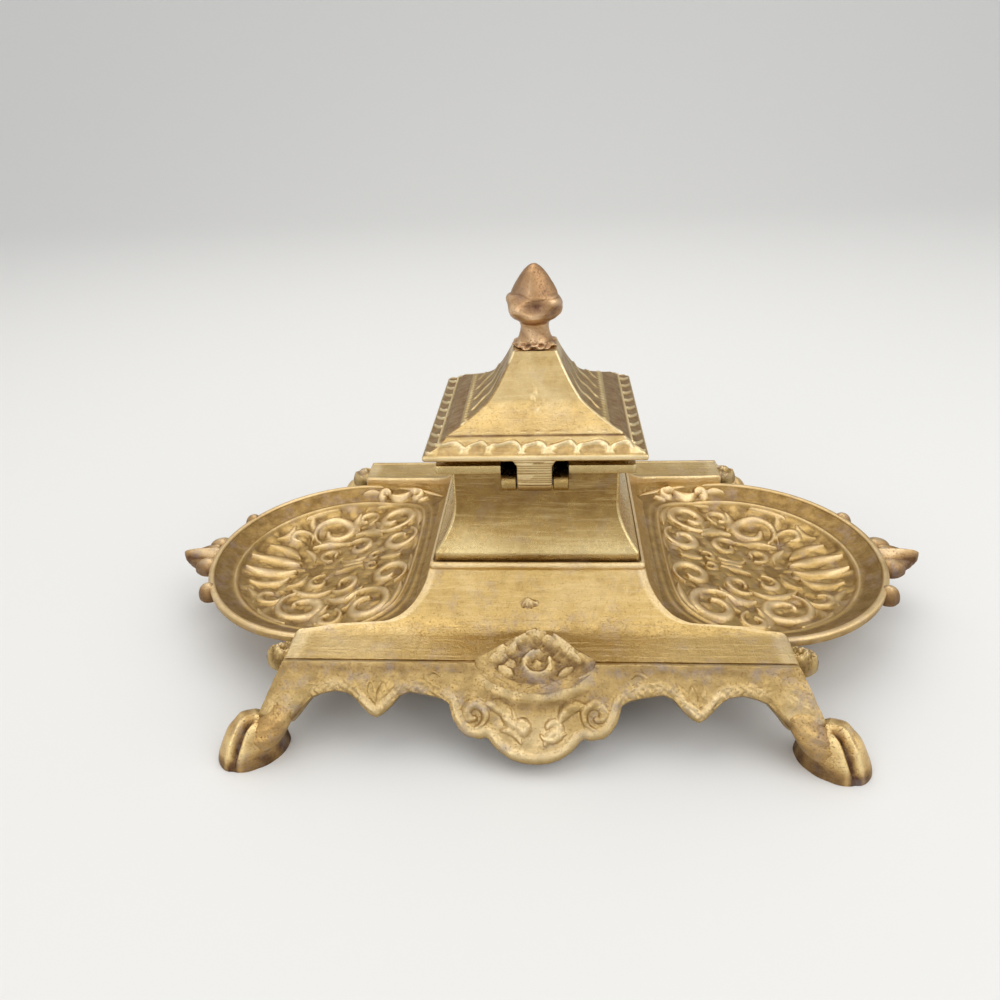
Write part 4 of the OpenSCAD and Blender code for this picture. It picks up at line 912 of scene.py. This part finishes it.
def lid_shell():
    """The lid's profile carried round a rounded square, inside first, then raised by the relief."""
    slots = np.linspace(-1, 1, 150)
    grid = stacked(lid_profile, 0.8, slots, 6)
    side = np.repeat(np.arange(4), len(slots) + 6)[None, :]
    profile = np.array(lid_profile)
    start = len(inner_curve) + 7
    row_w, row_z = profile[:, :1] + 0 * side, profile[:, 1:] + 0 * side
    lift = lid_relief(grid[..., 0], grid[..., 1], row_w, row_z, side + 0 * row_w)
    lift[:start] = 0
    mark = np.clip(lift * 1.8 - 0.1, -1, 1)
    tall = np.zeros_like(mark)
    tall[:, (np.arange(grid.shape[1]) % (len(slots) + 6)) >= len(slots)] = 0.8
    mark = np.maximum(mark, tall * (row_w < 34.9))
    mark[start - 5:start] = 0.7
    seam = (row_w < 28.3) & (row_w > 27.5) & (row_z < 85)
    mark = np.where(seam, -1.0, mark)
    border = (row_w < 34.4) & (row_w > 29.6) & (lift < 0.1)
    mark = np.where(border & ((side == 0) | (side == 2)), -0.75, np.where(border, -0.35, mark))
    flat_band = (row_w < 29.6) & (row_w > 23.8) & ((side == 0) | (side == 2)) & (lift < 0.1)
    mark = np.where(flat_band, -0.8, mark)
    flank = (row_w < 22) & (row_w > 9) & ((side == 0) | (side == 2)) & (lift < 0.1)
    mark = np.where(flank, -0.6, mark)
    mark[:start - 6] = -0.7
    return raised(grid, lift, 1.0), mark


def tongue():
    """A flat strip drawn along a path that drops from under the border and curls round the pin: its section
    is a rounded oblong, wider where it leaves the lid, and shrinks to a point at both ends."""
    bend = np.radians(np.linspace(180, 330, 22))
    path = np.concatenate([[(-30.6, 80.3), (-32.4, 79.9), (-33.4, 79.2), (-33.8, 78.0), (-33.9, 76), (-33.95, 73.5), (-33.9, 71.5)],
                           np.stack([-31.6 + 2.35 * np.cos(bend), 70.6 + 2.35 * np.sin(bend)], -1)])
    at = np.linspace(0, len(path) - 1, 150)
    path = np.stack([np.interp(at, np.arange(len(path)), path[:, k]) for k in (0, 1)], -1)
    step = np.gradient(path, axis=0)
    step /= np.linalg.norm(step, axis=1)[:, None]
    side = np.stack([step[:, 1], -step[:, 0]], -1)
    half = 5.45 + 1.9 * np.clip((path[:, 1] - 76.4) / 2.6, 0, 1) ** 2
    angle = np.linspace(0, 2 * np.pi, 48, endpoint=False)[None, :]
    size = (np.abs(np.cos(angle)) ** 7 + np.abs(np.sin(angle)) ** 7) ** (-1 / 7)
    grow = np.ones(len(path))
    grow[0] = grow[-1] = 0
    grow = grow[:, None]
    x = half[:, None] * size * np.cos(angle) * grow
    lines = (np.sin(path[:, 1:] * 7.5 + 0.5 * np.sin(angle * 2)) > 0.45) * (path[:, 1:] > 70.5)
    d = (0.9 - 0.1 * lines) * size * np.sin(angle) * grow
    grid = np.stack([x, path[:, :1] + side[:, :1] * d, path[:, 1:] + side[:, 1:] * d], -1)
    mark = 0.45 - 1.1 * lines - 0.9 * np.clip((71.0 - path[:, 1:]) / 1.5, 0, 1)
    return grid, mark + 0 * angle


grid, mark = lid_shell()
strip, strip_mark = tongue()
lid = casting("lid_cast", [(grid, mark, False, True), (strip, strip_mark, False, True)], 50)
lid_brass = brass("lid_brass", (0.22, 0.125, 0.055), (0.52, 0.37, 0.155), (0.82, 0.67, 0.40),
                  residue_amount=0.2, pitting=0.4, scratches=0.5, dullness=0.35, residue=(0.42, 0.33, 0.26))
dress(lid, lid_brass, "lid", "lid_brass", "lid")


# ---- The bud finial ----
# A redder bronze casting on a threaded stud: a rough collar, a short neck, a lumpy bud
# with a crack round it and a faceted pointed cap.

finial_profile = [(0, 105.0), (6.4, 105.0), (7.0, 105.4), (7.0, 106.2), (6.3, 106.7), (5.6, 107.3), (5.1, 108.3),
                  (4.8, 109.6), (4.7, 111.4), (4.9, 112.8), (5.9, 113.7), (7.3, 114.4), (8.4, 115.5), (9.0, 117.0),
                  (9.1, 118.6), (8.9, 120.0), (8.4, 121.2), (7.9, 121.9), (7.6, 122.6), (7.1, 123.6), (6.4, 124.9),
                  (5.5, 126.3), (4.5, 127.8), (3.3, 129.3), (2.1, 130.4), (1.0, 131.1), (0, 131.3)]


def turned(profile, spokes, refine):
    """A profile of (radius, height) pairs spun round Z, each interval divided evenly into short steps."""
    profile = np.array(profile, float)
    at = np.linspace(0, len(profile) - 1, (len(profile) - 1) * refine + 1)
    radius = np.interp(at, np.arange(len(profile)), profile[:, 0])[:, None]
    height = np.interp(at, np.arange(len(profile)), profile[:, 1])[:, None]
    angle = np.linspace(0, 2 * np.pi, spokes, endpoint=False)[None, :]
    return radius, height, angle


radius, height, angle = turned(finial_profile, 144, 4)
bud = np.clip((height - 113) / 3, 0, 1)
cap = np.clip((height - 121.8) / 1.0, 0, 1)
facet = -0.07 * np.abs(np.sin(2.0 * angle + 0.4)) ** 0.8 * cap
lump = (0.06 * np.sin(3 * angle + 0.55 * height) + 0.035 * np.sin(5 * angle - 0.8 * height + 1)) * bud * (1 - cap)
ragged = (0.07 * np.sin(7 * angle + 2 * height) + 0.05 * np.sin(11 * angle - 3 * height)) * (height < 107) * (height > 105.1)
rough = ragged + 0.03 * np.sin(4 * angle + height) * (height < 113)
wander = height - 121.9 - 0.7 * np.sin(2 * angle + 0.6) - 0.3 * np.sin(5 * angle)
crack = -0.055 * np.exp(-(wander / 0.25) ** 2) * (0.6 + 0.4 * np.sin(2 * angle + 2))
dent = -0.11 * np.exp(-((height - 117.5) / 1.5) ** 2 - ((np.sin(angle + 1.9) - 1) / 0.14) ** 2)
dent -= 0.08 * np.exp(-((height - 119.5) / 1.8) ** 2 - ((np.sin(angle + 3.3) - 1) / 0.2) ** 2)
spun = radius * (1 + facet + lump + rough + crack + dent)
grid = np.stack([spun * np.cos(angle), spun * np.sin(angle), height + 0 * angle], -1)
mark = np.clip(6 * (facet + lump + rough) + 0.25 + 12 * crack + 6 * dent, -1, 1)
radius, height, angle = turned([(0, 105.2), (2.0, 105.2), (2.0, 96.0), (1.6, 95.6), (0, 95.6)], 32, 2)
stud = np.stack([radius * np.cos(angle), radius * np.sin(angle), height + 0 * angle], -1)
finial = casting("finial_cast", [(grid, mark, False, True), (stud, np.zeros(stud.shape[:2]), False, True)], 60)
finial_bronze = brass("finial_bronze", (0.13, 0.06, 0.04), (0.40, 0.235, 0.115), (0.78, 0.55, 0.33),
                      residue_amount=0.25, pitting=0.8, scratches=0.2, dullness=0.36, residue=(0.40, 0.30, 0.24))
dress(finial, finial_bronze, "lid", "finial_bronze", "finial")


# ---- The loose glass pot and the fixings ----
# The pot is clear pressed glass and stands free in the box. Screws, bolt, nut, washer and
# hinge pin are old steel; the nut and washer under the finial are turned brass.

glass = bpy.data.materials.new("pot_glass")
glass.use_nodes = True
shader = glass.node_tree.nodes["Principled BSDF"]
shader.inputs["Transmission Weight"].default_value = 1.0
shader.inputs["IOR"].default_value = 1.5
shader.inputs["Base Color"].default_value = (0.86, 0.93, 0.91, 1)
place = glass.node_tree.nodes.new("ShaderNodeTexCoord")
ripple = glass.node_tree.nodes.new("ShaderNodeTexNoise")
ripple.inputs["Scale"].default_value = 90
wave = glass.node_tree.nodes.new("ShaderNodeBump")
wave.inputs["Distance"].default_value = 0.0003
smudge = glass.node_tree.nodes.new("ShaderNodeMapRange")
smudge.inputs["To Min"].default_value, smudge.inputs["To Max"].default_value = 0.02, 0.12
glass.node_tree.links.new(place.outputs["Object"], ripple.inputs["Vector"])
glass.node_tree.links.new(ripple.outputs["Fac"], wave.inputs["Height"])
glass.node_tree.links.new(wave.outputs["Normal"], shader.inputs["Normal"])
glass.node_tree.links.new(ripple.outputs["Fac"], smudge.inputs["Value"])
glass.node_tree.links.new(smudge.outputs["Result"], shader.inputs["Roughness"])
old_steel = brass("old_steel", (0.06, 0.045, 0.035), (0.30, 0.27, 0.23), (0.52, 0.49, 0.44),
                  residue_amount=0.3, pitting=0.9, scratches=0.5, dullness=0.45, residue=(0.22, 0.11, 0.05))
turned_brass = brass("turned_brass", (0.18, 0.10, 0.03), (0.46, 0.31, 0.12), (0.74, 0.58, 0.28),
                     residue_amount=0.2, pitting=0.3, scratches=0.8, dullness=0.38)
for label, finish in (("ink_pot", glass), ("front_rail_screws", old_steel), ("rear_rail_screws", old_steel),
                      ("well_screw", old_steel), ("well_washer", old_steel), ("well_nut", old_steel),
                      ("hinge_pin", old_steel), ("finial_washer", turned_brass), ("finial_nut", turned_brass)):
    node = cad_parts[label]
    if not node.material_slots:
        node.data.materials.append(finish)
    for held in node.material_slots:
        held.material = finish


# ---- The table it stands on, the light and the camera ----
# A plain pale floor that curves up into a backdrop, three soft lamps, and the camera
# at the photograph's place, fitted to the object's own corners.

across = np.linspace(-3000, 3000, 9)[None, :]
turn = np.linspace(0, np.pi / 2, 24)
run_y = np.concatenate([[-2500, -1000, 0, 600], 900 + 700 * np.sin(turn), [1600]])[:, None]
run_z = np.concatenate([[0, 0, 0, 0], 700 * (1 - np.cos(turn)), [3200]])[:, None]
sheet = np.stack([across + 0 * run_y, run_y + 0 * across, run_z + 0 * across], -1)
floor = casting("floor", [(sheet, np.zeros(sheet.shape[:2]), False, False)])
floor.data.flip_normals() if floor.data.polygons[0].normal.z < 0 else None
pale = bpy.data.materials.new("pale_floor")
pale.use_nodes = True
tree = pale.node_tree
shader = tree.nodes["Principled BSDF"]
shader.inputs["Base Color"].default_value = (0.86, 0.86, 0.85, 1)
shader.inputs["Roughness"].default_value = 0.8
shader.inputs["Specular IOR Level"].default_value = 0.2
floor.data.materials.clear()
floor.data.materials.append(pale)

world = bpy.data.worlds.new("studio")
bpy.context.scene.world = world
world.use_nodes = True
sky = world.node_tree.nodes["Background"]
rays = world.node_tree.nodes.new("ShaderNodeLightPath")
seen = world.node_tree.nodes.new("ShaderNodeMath")
seen.operation = "MAXIMUM"
seen_through = world.node_tree.nodes.new("ShaderNodeMath")
seen_through.operation = "MAXIMUM"
level = world.node_tree.nodes.new("ShaderNodeMapRange")
level.inputs["To Min"].default_value, level.inputs["To Max"].default_value = 0.6, 1.0
sky.inputs["Color"].default_value = (1, 1, 1, 1)
world.node_tree.links.new(rays.outputs["Is Camera Ray"], seen.inputs[0])
world.node_tree.links.new(rays.outputs["Is Glossy Ray"], seen.inputs[1])
world.node_tree.links.new(seen.outputs[0], seen_through.inputs[0])
world.node_tree.links.new(rays.outputs["Is Transmission Ray"], seen_through.inputs[1])
world.node_tree.links.new(seen_through.outputs[0], level.inputs["Value"])
world.node_tree.links.new(level.outputs["Result"], sky.inputs["Strength"])


def lamp(name, place, size, power, colour):
    """A soft square lamp at a place in metres, turned to face the box."""
    light = bpy.data.lights.new(name, "AREA")
    light.size, light.energy, light.color = size, power, colour
    holder = bpy.data.objects.new(name, light)
    place = np.array(place, float)
    back = place - np.array([0, 0, 0.04])
    back /= np.linalg.norm(back)
    right = np.cross([0, 0, 1], back)
    right /= np.linalg.norm(right)
    holder.matrix_world = Matrix(np.vstack([np.column_stack([right, np.cross(back, right), back, place]), [0, 0, 0, 1]]).tolist())
    bpy.context.scene.collection.objects.link(holder)


lamp("key_lamp", (-0.12, 0.26, 0.85), 0.9, 2.9, (1.0, 0.97, 0.92))
lamp("fill_lamp", (0.66, -0.3, 0.7), 0.8, 2.5, (0.98, 0.98, 0.97))
lamp("front_lamp", (-0.5, -0.8, 0.5), 0.6, 1.6, (1.0, 0.98, 0.95))

pitch, yaw, roll = np.radians([29.48, -4.81, -2.62])
forward = np.array([np.sin(yaw) * np.cos(pitch), np.cos(yaw) * np.cos(pitch), -np.sin(pitch)])
right = np.array([np.cos(yaw), -np.sin(yaw), 0.0])
up = np.cross(right, forward)
right, up = right * np.cos(roll) + up * np.sin(roll), -right * np.sin(roll) + up * np.cos(roll)
lens = bpy.data.cameras.new("camera")
lens.sensor_width, lens.lens, lens.clip_start = 36.0, 36.0 * 753.14 / 1000.0, 0.01
camera = bpy.data.objects.new("camera", lens)
camera.matrix_world = Matrix(np.vstack([np.column_stack([right, up, -forward, [0.0064, -0.24293, 0.18345]]), [0, 0, 0, 1]]).tolist())
bpy.context.scene.collection.objects.link(camera)
bpy.context.scene.camera = camera
bpy.context.scene.view_settings.view_transform = "Standard"
